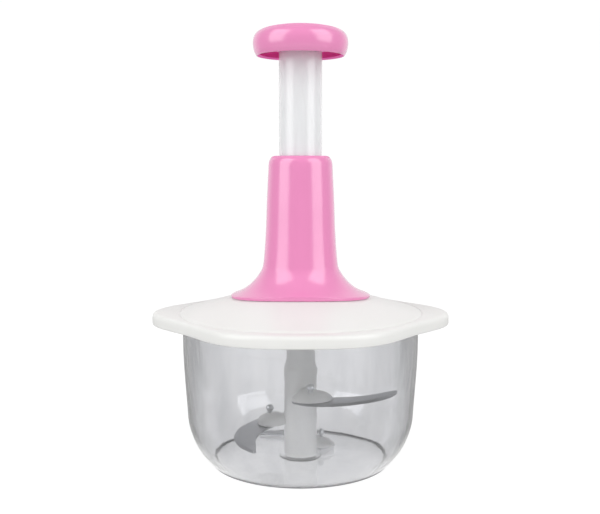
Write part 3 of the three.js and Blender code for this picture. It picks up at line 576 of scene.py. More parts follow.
@dataclass
class ClearBowl:
    """The clear bowl, with its foot, its low disc and the boss that holds the pin."""

    wall: float = 2.2
    floor: float = 1.7
    floor_margin: float = 9.0
    floor_rounds: Sizes = (0, 3.2, 0)
    rim_depth: float = 0.8
    rim_rounds: Sizes = (0, 0.7, 0.7, 0)
    foot_radius: float = 53.5
    foot_recess: float = 0.9
    foot_ring: float = 1.4
    recess_slope: float = 0.6
    edge_height: float = 1.1
    edge_skin: float = 0.14
    edge_clear: float = 0.12
    edge_margin: float = 0.3
    edge_start: float = 0.1
    # Marks on the foot's corner, from its radius and the ground: the bowl's, and the matt edge's two sides.
    heel_marks: Line = ((-0.5, 0.14), (-0.08, 0.4))
    edge_outside: Line = ((-0.4, 0), (0.12, 0.25))
    edge_inside: Line = ((-0.05, 0.38), (-0.46, 0.12))
    disc_radius: float = 12.6
    disc_height: float = 0.3
    disc_margin: float = 1.5
    boss_wall: float = 1.6
    boss_height: float = 6.0
    boss_rounds: Sizes = (0, 0.2, 0.2, 0.2, 0.4, 0.3, 0)
    pin_radius: float = 2.8
    pin_floor: float = 1.2
    curve_steps: int = 40
    curve_shares: Line = (
        (0, 0), (0.51, 0.12), (0.804, 0.262), (0.884, 0.416), (0.988, 0.732), (1, 1),
    )

    def outside(self) -> list[Point]:
        """Give the wall's outer line.

        Returns:
            The line's points, from the foot to the rim.
        """
        _, (radius, _, height) = node_size("bowl")
        reach = radius - self.foot_radius
        marks = [(self.foot_radius + reach * out, height * up) for out, up in self.curve_shares]
        return spline(marks, self.curve_steps)

    def at_foot(self, marks: Line) -> list[Point]:
        """Measure marks from the foot's radius."""
        return [(self.foot_radius + out, up) for out, up in marks]

    def build(self) -> None:
        """Make the bowl and its matt edge, grey with painted shadow, and dress its pin."""
        outer = self.outside()
        inner = offset(outer, self.wall)
        (rim_outer, top), (rim_inner, _) = outer[-1], inner[-1]
        rim = top - self.rim_depth
        wall_inside = [point for point in inner if self.floor + 2 * self.wall < point[1] < top - self.wall]
        corner = read_at(inner, self.floor)
        hole = self.pin_radius + FIT_GAP
        boss = hole + self.boss_wall
        boss_top = self.floor + self.boss_height
        disc_top = self.floor + self.disc_height
        recess = self.foot_radius - self.foot_ring
        heel = read_at(outer, self.edge_height)
        profile = [
            (0, self.foot_recess), (recess - self.recess_slope, self.foot_recess), (recess, self.edge_skin),
            *self.at_foot(self.heel_marks), (heel - self.edge_skin, self.edge_height),
            *[point for point in outer if self.edge_height + self.edge_margin < point[1] < rim],
            *rounded([
                (rim_outer, rim), (rim_outer, top), (rim_inner, top), (rim_inner, rim),
            ], self.rim_rounds),
            *reversed(wall_inside[1:]),
            *rounded([
                wall_inside[0], (corner, self.floor), (corner - self.floor_margin, self.floor),
            ], self.floor_rounds, steps=8),
            *rounded([
                (self.disc_radius + self.disc_margin, self.floor), (self.disc_radius, self.floor),
                (self.disc_radius, disc_top), (boss, disc_top), (boss, boss_top), (hole, boss_top),
                (hole, self.pin_floor),
            ], self.boss_rounds, steps=3),
            (0, self.pin_floor),
        ]
        bowl = turn("clear_bowl", profile, CLEAR_STYRENE, Sides.WIDE, closed=False)
        attach(bowl, "bowl", "bowl")
        # The foot edge's grey draws the contact shadow round the base: painted shade.
        edge = turn("foot_edge_painted_shadow", [
            (recess + self.edge_start, 0), *self.at_foot(self.edge_outside), (heel, self.edge_height),
            (heel - self.edge_clear, self.edge_height), *self.at_foot(self.edge_inside),
            (recess + self.edge_start, self.edge_clear),
        ], STYRENE_PAINTED_CONTACT_SHADOW, Sides.WIDE)
        attach(edge, "bowl")
        dress(TURNED_STEEL, "centre_pin")


@dataclass
class LobedLid:
    """The white lid: a low cone, a groove, a rim with two ears and four low lobes, and the plug below."""

    ear_radius: float = 88.7
    lobe_radius: float = 82.0
    notch_radius: float = 77.4
    front_radius: float = 81.0
    rim_depth: float = 7.1
    plate: float = 2.7
    wall: float = 2.2
    seat: float = 88.1
    groove_radius: float = 72.1
    groove_width: float = 1.8
    groove_depth: float = 0.5
    deck_radius: float = 30.0
    deck_margin: float = 6.0
    deck_rounds: Sizes = (0, 0.4, 0)
    dome_rise: float = 11.4
    dome_bend: float = 1.04
    dome_steps: int = 20
    under_steps: int = 12
    # The roundings from the groove over the rim, up inside the skirt and down round the plug.
    rim_rounds: Sizes = (0, 1.2, 0.9, 3.0, 0.9, 0.7, 1.0, 0.5, 0, 0, 0, 0, 0.8, 0.8, 1.0, 0)
    plug_depth: float = 7.3
    plug_wall: float = 2.6
    plug_clearance: float = 1.3
    gasket_height: float = 2.4
    gasket_lip: float = 0.6
    gasket_groove: float = 1.0
    gasket_rounds: Sizes = (0.3, 0.4, 0.3, 0.4, 0.3)
    chamber_radius: float = 13.5
    chamber_wall: float = 2.2
    chamber_depth: float = 21.4
    chamber_root: float = 1.0
    chamber_rounds: Sizes = (0.3, 0.5, 0, 0)
    boss_place: float = 18.0
    boss_angles: Sizes = (30.0, 150.0, 270.0)
    boss_radius: float = 3.4
    boss_hole: float = 1.6
    boss_rounds: Sizes = (0.2, 0.4, 0, 0)
    rod_hole: float = 6.8

    def rim_at(self, angle: float) -> float:
        """Give the rim's radius at an angle.

        Args:
            angle: The angle from +X, in radians.

        Returns:
            The radius, which is largest at the two ears.
        """
        ear, lobe, notch, front = self.ear_radius, self.lobe_radius, self.notch_radius, self.front_radius
        mean = (ear + front + 2 * notch + 2 * lobe) / 6
        second = (ear + notch - lobe - front) / 3
        fourth = (ear - notch - lobe + front) / 3
        sixth = (ear - 2 * notch + 2 * lobe - front) / 6
        return mean + sum(size * math.cos(k * angle) for size, k in ((second, 2), (fourth, 4), (sixth, 6)))

    def dome(self, radius: float) -> float:
        """Give the height of the lid's top at a radius."""
        reach = min(max((radius - self.deck_radius) / (self.groove_radius - self.deck_radius), 0), 1)
        return self.seat + self.plate + self.dome_rise - self.dome_rise * reach ** self.dome_bend

    def under(self, radius: float) -> float:
        """Give the height of the plate's underside at a radius."""
        return self.dome(radius) - self.plate

    def section(self, plug: float) -> list[Point]:
        """Give the lid's section as it is at an ear.

        Args:
            plug: The plug's outer radius.

        Returns:
            The section's points, once round.
        """
        rim_top = self.seat + self.plate
        rim_bottom = rim_top - self.rim_depth
        skirt = self.ear_radius - self.wall
        start, end = (self.groove_radius + side * self.groove_width / 2 for side in (-1, 1))
        plug_inner, plug_bottom = plug - self.plug_wall, self.seat - self.plug_depth
        notch, level = plug - self.gasket_groove, self.seat - self.plug_depth / 2
        half = self.gasket_height / 2 + FIT_GAP
        under = spread(plug_inner, self.deck_radius, self.under_steps)[1:]
        return [
            *rounded([
                (self.rod_hole, self.under(0)), (self.rod_hole, self.dome(0)),
                (self.deck_radius - self.deck_margin, self.dome(0)),
            ], self.deck_rounds),
            *[(radius, self.dome(radius)) for radius in spread(self.deck_radius, start, self.dome_steps)],
            *rounded([
                (start, self.dome(start)), (self.groove_radius, rim_top - self.groove_depth), (end, rim_top),
                (self.ear_radius, rim_top), (self.ear_radius, rim_bottom), (skirt, rim_bottom),
                (skirt, self.seat), (plug, self.seat), (plug, level + half), (notch, level + half),
                (notch, level - half), (plug, level - half), (plug, plug_bottom), (plug_inner, plug_bottom),
                (plug_inner, self.under(plug)), (under[0], self.under(under[0])),
            ], self.rim_rounds, steps=6),
            *[(radius, self.under(radius)) for radius in under[1:]],
        ]

    def shape(self, angle: float, radius: float, height: float) -> Point:
        """Draw a point of the section, outside the groove, in from an ear to the outline at an angle."""
        outer = radius > self.groove_radius + self.groove_width
        return (radius - self.ear_radius + self.rim_at(angle) if outer else radius), height

    def build(self, bowl: ClearBowl) -> None:
        """Make the lid, its clutch chamber and its gasket, and dress the pieces fixed to it.

        Args:
            bowl: The bowl that the plug enters.
        """
        inside = offset(bowl.outside(), bowl.wall)
        plug = read_at(inside, self.seat - self.plug_depth) - self.plug_clearance
        section = self.section(plug)
        swept = sweep(lambda angle: [self.shape(angle, *point) for point in section], Sides.WIDE)
        attach(make_piece("lobed_lid", swept, WHITE_POLYPROPYLENE), "lid", "lid")
        self.build_chamber()
        level, half = self.seat - self.plug_depth / 2, self.gasket_height / 2
        seal_inner = plug - self.gasket_groove + FIT_GAP
        seal_outer = read_at(inside, level) - FIT_GAP
        lip = seal_outer - self.gasket_lip
        seal = turn("plug_gasket", rounded([
            (seal_inner, level - half), (lip, level - half), (seal_outer, level), (lip, level + half),
            (seal_inner, level + half),
        ], self.gasket_rounds, closed=True), CLOUDY_SILICONE, Sides.WIDE)
        attach(seal, "lid", "lid_gasket")
        dress(WHITE_POLYPROPYLENE, "clutch_cover")
        dress(MOULDED_ACETAL, "guide_bush", "rod_bush")
        screws = [f"{kind}_screw_{index}" for kind in ("cover", "handle") for index in (1, 2, 3)]
        dress(TURNED_STEEL, "spring_seat", *screws)

    def build_chamber(self) -> None:
        """Make the clutch chamber's wall and its three screw bosses, rooted in the plate."""
        root = self.under(0) + self.chamber_root
        bottom = self.under(0) - self.chamber_depth
        chamber, boss = (
            rounded([(inner, bottom), (outer, bottom), (outer, root), (inner, root)], rounds, closed=True)
            for inner, outer, rounds in (
                (self.chamber_radius, self.chamber_radius + self.chamber_wall, self.chamber_rounds),
                (self.boss_hole, self.boss_radius, self.boss_rounds),
            )
        )
        wall = turn("clutch_chamber", chamber, WHITE_POLYPROPYLENE, Sides.SMALL)
        attach(wall, "lid")
        for number, degrees in enumerate(self.boss_angles, start=1):
            piece = turn(f"chamber_boss_{number}", boss, WHITE_POLYPROPYLENE, Sides.TINY)
            angle, reach = math.radians(degrees), self.boss_place * MM
            piece.location = (reach * math.cos(angle), reach * math.sin(angle), 0)
            attach(piece, "lid")


@dataclass
class FlaredTower:
    """The pink tower that is gripped by hand: a round column that flares into an oval flange."""

    top_radius: float = 19.0
    shoulder_width: float = 4.4
    shoulder_height: float = 6.5
    shoulder_steps: int = 14
    fullness: float = 0.85
    flange_half_width: float = 41.5
    flange_half_depth: float = 34.0
    flange_edge: float = 1.2
    edge_round: float = 0.5
    edge_rise: float = 0.05
    under_width: float = 3.0
    under_round: float = 0.25
    bore: float = 16.9
    bore_margin: float = 2.0
    lip: float = 3.3
    mouth: float = 12.95
    mouth_rounds: Sizes = (0, 0.3, 0.6, 0)
    # How many of the crown's points, over the mouth and the start of the shoulder, are satin.
    satin_points: int = 17
    flare_steps: int = 56
    flare_shares: Line = (
        (0.044, 0.672), (0.069, 0.485), (0.102, 0.334), (0.142, 0.219), (0.187, 0.17), (0.347, 0.102),
        (0.556, 0.046), (0.756, 0.011), (1, -0.016),
    )

    def flare(self, lid: LobedLid, top: float) -> list[Point]:
        """Give the outer line, from under the top's rounding down past the flange's edge.

        Args:
            lid: The lid that the tower stands on.
            top: The height of the tower's top.

        Returns:
            The line's points, going down and out, never nearer the lid than the flange is thick.
        """
        deck = lid.dome(0)
        reach = self.flange_half_width - self.top_radius
        line = [(self.top_radius, top - self.shoulder_height)]
        line += [(self.top_radius + reach * out, deck + (top - deck) * up) for out, up in self.flare_shares]
        thick = FIT_GAP + self.flange_edge
        return [(r, max(z, lid.dome(r) + thick)) for r, z in spline(line, self.flare_steps)]

    def crown(self, top: float) -> list[Point]:
        """Give the line from the bore over the mouth's lip and the shoulder, down to the side.

        Args:
            top: The height of the tower's top.

        Returns:
            The line's points.
        """
        start = self.top_radius - self.shoulder_width
        under = top - self.lip
        line = rounded([
            (self.bore, under), (self.mouth, under), (self.mouth, top), (start, top),
        ], self.mouth_rounds, steps=4)
        for lean in spread(0, math.pi / 2, self.shoulder_steps)[1:]:
            across, down = math.sin(lean) ** self.fullness, 1 - math.cos(lean) ** self.fullness
            line.append((start + self.shoulder_width * across, top - self.shoulder_height * down))
        return line

    def flange_at(self, angle: float) -> float:
        """Give the oval flange's radius at an angle from +X, in radians."""
        across, deep = self.flange_half_width, self.flange_half_depth
        return 1 / math.hypot(math.cos(angle) / across, math.sin(angle) / deep)

    def resample(self, points: Line) -> list[Point]:
        """Spread a fixed count of points evenly along a line.

        Args:
            points: The line's points.

        Returns:
            The spread points.
        """
        lengths = [0.0]
        for start, end in zip(points, points[1:]):
            lengths.append(lengths[-1] + math.dist(start, end))
        lines = [list(zip([point[axis] for point in points], lengths)) for axis in (0, 1)]
        goals = spread(0, lengths[-1], self.flare_steps)
        return [tuple(read_at(line, goal) for line in lines) for goal in goals]

    def column(self, angle: float, line: Line, lid: LobedLid) -> list[Point]:
        """Give the section below the shoulder at an angle: the flare, the flange's edge and its underside.

        Args:
            angle: The angle from +X, in radians.
            line: The outer line of the flare.
            lid: The lid that the tower stands on.

        Returns:
            The section's points.
        """
        edge = self.flange_at(angle)
        start, back = edge - self.edge_round, edge - self.under_width
        heights = [(z, r) for r, z in line]
        slope = [point for point in line if point[0] < start] + [(start, read_at(heights, start))]
        drop, deck = read_at(heights, edge), lid.dome(0) + FIT_GAP
        return [
            *self.resample(slope),
            *rounded([
                (start, drop + self.edge_rise), (edge, drop), (edge, lid.dome(edge) + FIT_GAP),
                (back, lid.dome(back) + FIT_GAP),
            ], (0, self.edge_round, self.under_round, 0), steps=4)[1:],
            (self.bore + self.bore_margin, deck), (self.bore, deck),
        ]

    def build(self, lid: LobedLid) -> None:
        """Make the tower and its satin mouth, two shells that share their edges.

        Args:
            lid: The lid that it stands on.
        """
        _, (_, _, top) = node_size("handle")
        line, crown = self.flare(lid, top), self.crown(top)
        shoulder = crown[self.satin_points:-1]
        swept = sweep(lambda angle: [*shoulder, *self.column(angle, line, lid)], Sides.WIDE, closed=False)
        attach(make_piece("flared_tower", swept, PINK_POLYPROPYLENE), "lid", "handle")
        mouth = [(self.bore, lid.dome(0) + FIT_GAP), *crown[:self.satin_points + 1]]
        lining = turn("tower_mouth", mouth, SATIN_PINK_POLYPROPYLENE, Sides.WIDE, closed=False)
        attach(lining, "lid")


@dataclass
class Plunger:
    """The milky tube that slides in the tower, with its foot, nut and pins."""

    radius: float = 12.65
    wall: float = 2.0
    end_wall: float = 3.0
    foot_radius: float = 16.6
    foot_height: float = 8.0
    screw_hole: float = 2.0
    rounds: Sizes = (0.3, 0.4, 0.5, 0.6, 0.8, 0.2, 0.2, 0.8)

    def build(self) -> None:
        """Make the tube and dress what rides inside it."""
        (_, _, bottom), (_, _, top) = node_size("plunger_tube")
        step, under = bottom + self.foot_height, top - self.end_wall
        inner, foot = self.radius - self.wall, self.foot_radius
        profile = rounded([
            (inner, bottom), (foot, bottom), (foot, step), (self.radius, step), (self.radius, top),
            (self.screw_hole, top), (self.screw_hole, under), (inner, under),
        ], self.rounds, closed=True)
        barrel = turn("plunger_barrel", profile, MILKY_POLYPROPYLENE)
        attach(barrel, "plunger", "plunger_tube")
        dress(MOULDED_ACETAL, "spiral_nut")
        dress(TURNED_STEEL, "nut_pin_right", "nut_pin_left", "cap_screw")


@dataclass
class ReturnSpring:
    """The coil spring that lifts the plunger: round wire, with a closed coil at each end."""

    wire: float = 1.1
    coils: float = 10.0
    closed_coils: float = 1.0
    closed_pitch: float = 1.16
    opening: float = 0.5
    travel: float = 48.0
    steps: int = 40
    wire_sides: int = 12

    def openness(self, turns: float) -> float:
        """Say how far the coils stand open at a number of turns: 0 in a closed end, 1 in the middle."""
        share = min(max((min(turns, self.coils - turns) - self.closed_coils) / self.opening, 0), 1)
        return share * share * (3 - 2 * share)

    def heights(self, climb: float) -> list[float]:
        """Give the wire's height at each step.

        Args:
            climb: How much it rises from end to end.

        Returns:
            The heights over its lower end.
        """
        count = round(self.coils * self.steps)
        opened = [self.openness((step + 0.5) / self.steps) for step in range(count)]
        closed_step = self.closed_pitch / self.steps
        stretch = (climb - closed_step * count) / sum(opened)
        heights = [0.0]
        for share in opened:
            heights.append(heights[-1] + closed_step + stretch * share)
        return heights

    def build(self) -> None:
        """Make the spring."""
        (_, _, bottom), (outer, _, top) = node_size("return_spring")
        half = self.wire / 2
        middle = outer - half
        heights = self.heights(top - bottom - self.wire)
        last = len(heights) - 1
        ways = [TURN * side / self.wire_sides for side in range(self.wire_sides)]
        rings = []
        for step, height in enumerate(heights):
            angle = TURN * step / self.steps
            before, after = max(step - 1, 0), min(step + 1, last)
            out = Vector((math.cos(angle), math.sin(angle), 0))
            run = TURN * middle * (after - before) / self.steps
            along = Vector((-out.y * run, out.x * run, heights[after] - heights[before])).normalized()
            across = out.cross(along)
            centre = out * middle + Vector((0, 0, bottom + half + height))
            rings.append([
                tuple(centre + (out * math.cos(way) + across * math.sin(way)) * half) for way in ways
            ])
        spring = make_piece("coiled_return_spring", tube(rings), DRAWN_WIRE)
        attach(spring, "lid", "return_spring")
        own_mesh(spring)


@dataclass
class PalmCap:
    """The pink mushroom cap that the palm pushes, hollow round its socket."""

    wall: float = 2.2
    ceiling_start: float = 1.0
    socket_wall: float = 2.2
    socket_inset: float = 3.0
    socket_bevel: float = 0.3
    sleeve_bevel: float = 0.4
    sleeve_margin: float = 0.8
    boss_radius: float = 4.4
    boss_margin: float = 0.6
    boss_root: float = 0.1
    socket_root: float = 0.2
    hole: float = 2.0
    lip: float = 0.6
    lip_round: float = 0.28
    # The lip's point where the matt inside begins, and the outside's point where the lip ends.
    lip_seam: int = 6
    lip_end: int = 3
    crown_share: float = 0.88
    curve_steps: int = 64
    curve_shares: Line = (
        (0.93, 0), (0.975, 0.14), (1, 0.342), (0.993, 0.51), (0.954, 0.655), (0.877, 0.758), (0.709, 0.847),
        (0.4, 0.925), (0, 0.955),
    )

    def hollow(self, inside: Line, rim: float, socket: float) -> list[Point]:
        """Give the inner line, from the screw's hole over the boss and the socket to the lip.

        Args:
            inside: The wall's inner line, from the rim to the axis.
            rim: The height of the cap's rim.
            socket: The socket's inner radius.

        Returns:
            The line's points.
        """
        _, (_, _, tube_top) = node_size("plunger_tube")
        _, (_, _, screw_top) = node_size("cap_screw")
        sleeve = socket + self.socket_wall
        ceiling = [point for point in inside if point[0] > sleeve + self.sleeve_margin]
        start, end = self.boss_radius + self.boss_margin, socket - self.boss_margin
        middle = [point for point in inside if start < point[0] < end]
        cover, boss, foot = screw_top + FIT_GAP, tube_top + FIT_GAP, rim + self.socket_inset
        return [
            (0, cover), (self.hole, cover), (self.hole, boss), (self.boss_radius, boss),
            (self.boss_radius, middle[-1][1] + self.boss_root),
            *reversed(middle),
            (socket, middle[0][1] - self.socket_root), (socket, foot + self.socket_bevel),
            (socket + self.socket_bevel, foot), (sleeve - self.sleeve_bevel, foot),
            (sleeve, foot + self.sleeve_bevel), (sleeve, ceiling[-1][1] - self.sleeve_bevel),
            *reversed(ceiling),
        ]

    def build(self, plunger: Plunger) -> None:
        """Make the cap: its side, its satin crown and its matt inside with painted bounce light, three shells
        that share their edges.

        Args:
            plunger: The tube that its socket takes.
        """
        (_, _, rim), (radius, _, top) = node_size("push_cap")
        marks = [(radius * across, rim + (top - rim) * up) for across, up in self.curve_shares]
        outside = spline(marks, self.curve_steps)
        inside = [point for point in offset(outside, self.wall) if point[1] > rim + self.ceiling_start]
        hollow = self.hollow(inside, rim, plunger.radius + FIT_GAP)
        edge = rounded([
            hollow[-1], (outside[0][0] - self.lip, rim), outside[0], outside[self.lip_end],
        ], (0, self.lip_round, self.lip_round, 0), steps=6)
        seam = max(index for index, (r, _) in enumerate(outside) if r > radius * self.crown_share)
        side = [*edge[self.lip_seam:], *outside[self.lip_end + 1:seam + 1]]
        for name, line, finish, node in (
            ("palm_cap", side, PINK_POLYPROPYLENE, "push_cap"),
            ("palm_cap_crown", outside[seam:], SATIN_PINK_POLYPROPYLENE, ""),
            # The hollow's deeper pink is painted bounce light.
            ("palm_cap_hollow", [*hollow, *edge[:self.lip_seam + 1]], PINK_PAINTED_BOUNCE_LIGHT, ""),
        ):
            attach(turn(name, line, finish, closed=False), "plunger", node)


class BladeLevel(Enum):
    """The three blades: their node's ending, the angle of their stud, their sweep and their spread."""

    TOP = ("top", -72.5, 59.5, 31.6)
    MIDDLE = ("middle", 167.5, 59.5, 34.2)
    BOTTOM = ("bottom", 47.5, 49.0, 33.5)


@dataclass
class CurvedBlade:
    """One curved steel blade with its ground edge, its domed pad and its ball stud."""

    level: BladeLevel
    thickness: float = 1.2
    steps: int = 48
    convex_shares: Line = (
        (0.322, -0.149), (0.556, -0.166), (0.789, -0.083), (0.912, 0.033), (0.977, 0.166), (1, 0.299),
        (0.977, 0.448), (0.912, 0.597), (0.813, 0.738), (0.673, 0.862), (0.512, 0.95), (0.38, 1),
    )
    concave_shares: Line = (
        (0.374, 0.066), (0.433, 0.174), (0.491, 0.299), (0.532, 0.431), (0.535, 0.564), (0.485, 0.713),
        (0.404, 0.854), (0.346, 0.976),
    )
    # The grind's width, its most as a share of the blade's width, and how near the ends it reaches.
    grind: float = 2.6
    grind_share: float = 0.6
    grind_end: float = 0.02
    # The grind's shoulder: how far it reaches to each side, and how deep its inner mark lies.
    shoulder: Point = (0.25, 0.1)
    shoulder_depth: float = 0.05
    # The rounding of the other edges, and its most as a share of the blade's width.
    edge_round: float = 0.12
    edge_share: float = 0.2
    # The cutting edge's lower and upper marks.
    cut_low: Point = (0, 0.05)
    cut_high: Point = (0.02, 0.14)
    stud_place: float = 19.2
    stud_radius: float = 1.3
    ball_radius: float = 2.25
    ball_steps: int = 16
    head_radius: float = 2.4
    head_height: float = 0.5
    stud_rounds: Sizes = (0, 0.15, 0.15, 0.1, 0)
    neck_drop: float = 2.0
    pad_length: float = 25.0
    pad_depth: float = 19.0
    pad_height: float = 5.2
    pad_place: float = 16.6
    pad_shift: float = 2.0
    pad_rows: int = 14
    pad_sides: int = 56
    # Beside the shaft the pad swells by this much, from this distance, and falls off at its edge.
    swell: float = 2.6
    swell_reach: float = 3.5
    swell_power: int = 6

    @property
    def suffix(self) -> str:
        """The ending of the node's name."""
        return self.level.value[0]

    @property
    def bottom(self) -> float:
        """The height of the blade's underside."""
        return node_size(f"blade_{self.suffix}")[0][2]

    def place(self, points: Sequence[Place], height: float = 0.0) -> list[Place]:
        """Turn points from the blade's own frame to the object's.

        Args:
            points: Places with the stud's side along +X.
            height: What to add to their height.

        Returns:
            The turned places.
        """
        angle = math.radians(self.level.value[1])
        c, s = math.cos(angle), math.sin(angle)
        return [(x * c - y * s, x * s + y * c, z + height) for x, y, z in points]

    def section(self, out: Point, back: Point, share: float) -> list[Place]:
        """Give the blade's section between its two edges.

        Args:
            out: The place on the convex edge.
            back: The place on the concave edge.
            share: How far along the blade, from root to tip.

        Returns:
            The section's places, once round.
        """
        edge, across = Vector(out), Vector(back) - Vector(out)
        width = across.length
        inward = across / width
        along = min(max(share, self.grind_end), 1 - self.grind_end)
        ground = min(self.grind * math.sqrt(math.sin(math.pi * along)), width * self.grind_share)
        r, t = min(self.edge_round, width * self.edge_share), self.thickness
        before, after = self.shoulder
        marks = [
            self.cut_low, (r, 0), (width / 2, 0), (width - r, 0), (width, r), (width, t - r), (width - r, t),
            ((ground + width) / 2, t), (ground + before, t), (ground - after, t - self.shoulder_depth),
            self.cut_high,
        ]
        return [(*(edge + inward * reach), up) for reach, up in marks]

    def build_blade(self) -> None:
        """Make the blade itself."""
        _, _, length, width = self.level.value
        convex, concave = (
            spline([(x * width, y * length) for x, y in shares], self.steps)
            for shares in (self.convex_shares, self.concave_shares)
        )
        edges = zip(convex, concave, spread(0, 1, self.steps))
        rings = [self.place(self.section(*edge), self.bottom) for edge in edges]
        blade = make_piece(f"curved_blade_{self.suffix}", tube(rings), GROUND_STAINLESS)
        attach(blade, "rotor", f"blade_{self.suffix}")

    def build_stud(self) -> None:
        """Make the stud: a flat head below, a neck through the pad and a ball on top."""
        (_, _, bottom), (_, _, top) = node_size(f"blade_stud_{self.suffix}")
        radius, head = self.ball_radius, bottom + self.head_height
        ball = top - radius
        leans = spread(math.asin(self.stud_radius / radius), math.pi, self.ball_steps)
        profile = [
            *rounded([
                (0, bottom), (self.head_radius, bottom), (self.head_radius, head), (self.stud_radius, head),
                (self.stud_radius, ball - self.neck_drop),
            ], self.stud_rounds, steps=3),
            *[(radius * math.sin(lean), ball - radius * math.cos(lean)) for lean in leans[:-1]],
            (0, top),
        ]
        stud = turn(f"ball_stud_{self.suffix}", profile, TURNED_STEEL, Sides.TINY, closed=False)
        [stud.location] = self.place([(self.stud_place * MM, 0, 0)])
        attach(stud, "rotor", f"blade_stud_{self.suffix}")

    def pad(self, shaft: float) -> Solid:
        """Draw the domed pad, which swells into the shaft beside it.

        Args:
            shaft: The shaft's radius.

        Returns:
            The places and the faces.
        """
        places = []
        for row in spread(0, math.pi / 2, self.pad_rows):
            lean = math.sin(row)
            for side in range(self.pad_sides):
                angle = TURN * side / self.pad_sides
                x = self.pad_place + self.pad_depth / 2 * lean * math.cos(angle)
                y = self.pad_shift + self.pad_length / 2 * lean * math.sin(angle)
                near = min(max(1 - (math.hypot(x, y) - shaft) / self.swell_reach, 0), 1)
                swell = self.swell * near ** 2 * math.sqrt(max(1 - lean ** self.swell_power, 0))
                places.append((x, y, self.pad_height * math.sqrt(max(1 - lean ** 2, 0)) + swell))
        edge = tuple(reversed(range(len(places) - self.pad_sides, len(places))))
        base = self.bottom + self.thickness + FIT_GAP
        return self.place(places, base), [edge, *skin(self.pad_rows + 1, self.pad_sides)]


@dataclass
class Rotor:
    """The white shaft with its hexagonal socket and three pads, and its blades and studs."""

    radius: float = 9.9
    neck_radius: float = 8.6
    neck_length: float = 11.6
    neck_taper: float = 5.0
    socket_depth: float = 13.5
    socket_width: float = 8.6
    socket_edge: float = 5.6
    socket_bevel: float = 0.2
    bore: float = 5.5
    rounds: Sizes = (0.3, 0.6, 6.0, 6.0, 0.6, 0)

    def hexagon(self, angle: float) -> float:
        """Give the hexagonal socket's radius at an angle from +X, in radians."""
        sector = TURN / 6
        return self.socket_width / 2 / math.cos((angle + sector / 2) % sector - sector / 2)

    def build(self) -> None:
        """Make the shaft with its pads, then each blade and stud."""
        (_, _, foot), (_, _, top) = node_size("rotor_tube")
        _, (_, _, pin_top) = node_size("centre_pin")
        neck, hollow, floor = top - self.neck_length, pin_top + FIT_GAP, top - self.socket_depth
        outer = rounded([
            (self.bore, foot), (self.radius, foot), (self.radius, neck - self.neck_taper),
            (self.neck_radius, neck), (self.neck_radius, top), (self.socket_edge, top),
        ], self.rounds, steps=6)
        places, faces = sweep(lambda angle: [
            (0, hollow), (self.bore, hollow), *outer, (self.hexagon(angle), top - self.socket_bevel),
            (self.hexagon(angle), floor), (0, floor),
        ], Sides.SMALL, closed=False)
        blades = [CurvedBlade(level) for level in BladeLevel]
        for blade in blades:
            pad_places, pad_faces = blade.pad(self.radius)
            faces += [tuple(len(places) + corner for corner in face) for face in pad_faces]
            places += pad_places
        # The shaft's extra whiteness is painted light, for the light that the bowl holds back.
        shaft = make_piece("rotor_shaft", (places, faces), WHITE_STYRENE_PAINTED_LIGHT)
        attach(shaft, "rotor", "rotor_tube")
        dress(MOULDED_ACETAL, "rotor_pin_bush")
        for blade in blades:
            blade.build_blade()
            blade.build_stud()


@dataclass
class SpiralDrive:
    """The twisted rod, its clip and the ratchet clutch: hidden pieces that keep their frame shapes."""

    steel: tuple[str, ...] = ("spiral_rod", "rod_clip", "clutch_spring")
    acetal: tuple[str, ...] = ("clutch_driver", "clutch_output")

    def build(self) -> None:
        """Dress each piece."""
        dress(TURNED_STEEL, *self.steel)
        dress(MOULDED_ACETAL, *self.acetal)


@dataclass
class SoftBox:
    """A studio light with a rectangular face that is aimed at the object, in metres and watts."""

    name: str
    place: Place
    target: Place = (0, 0, 0.3)
    width: float = 1.05
    height: float = 1.75
    power: float = 15

    def build(self) -> None:
        """Make the light."""
        light = bpy.data.lights.new(self.name, "AREA")
        light.shape = "RECTANGLE"
        light.size, light.size_y = self.width, self.height
        light.energy = self.power
        lamp = add_object(self.name, light)
        lamp.location = self.place
        lamp.rotation_euler = (Vector(self.target) - Vector(self.place)).to_track_quat("-Z", "Y").to_euler()
        log.info("light %s", self.name)


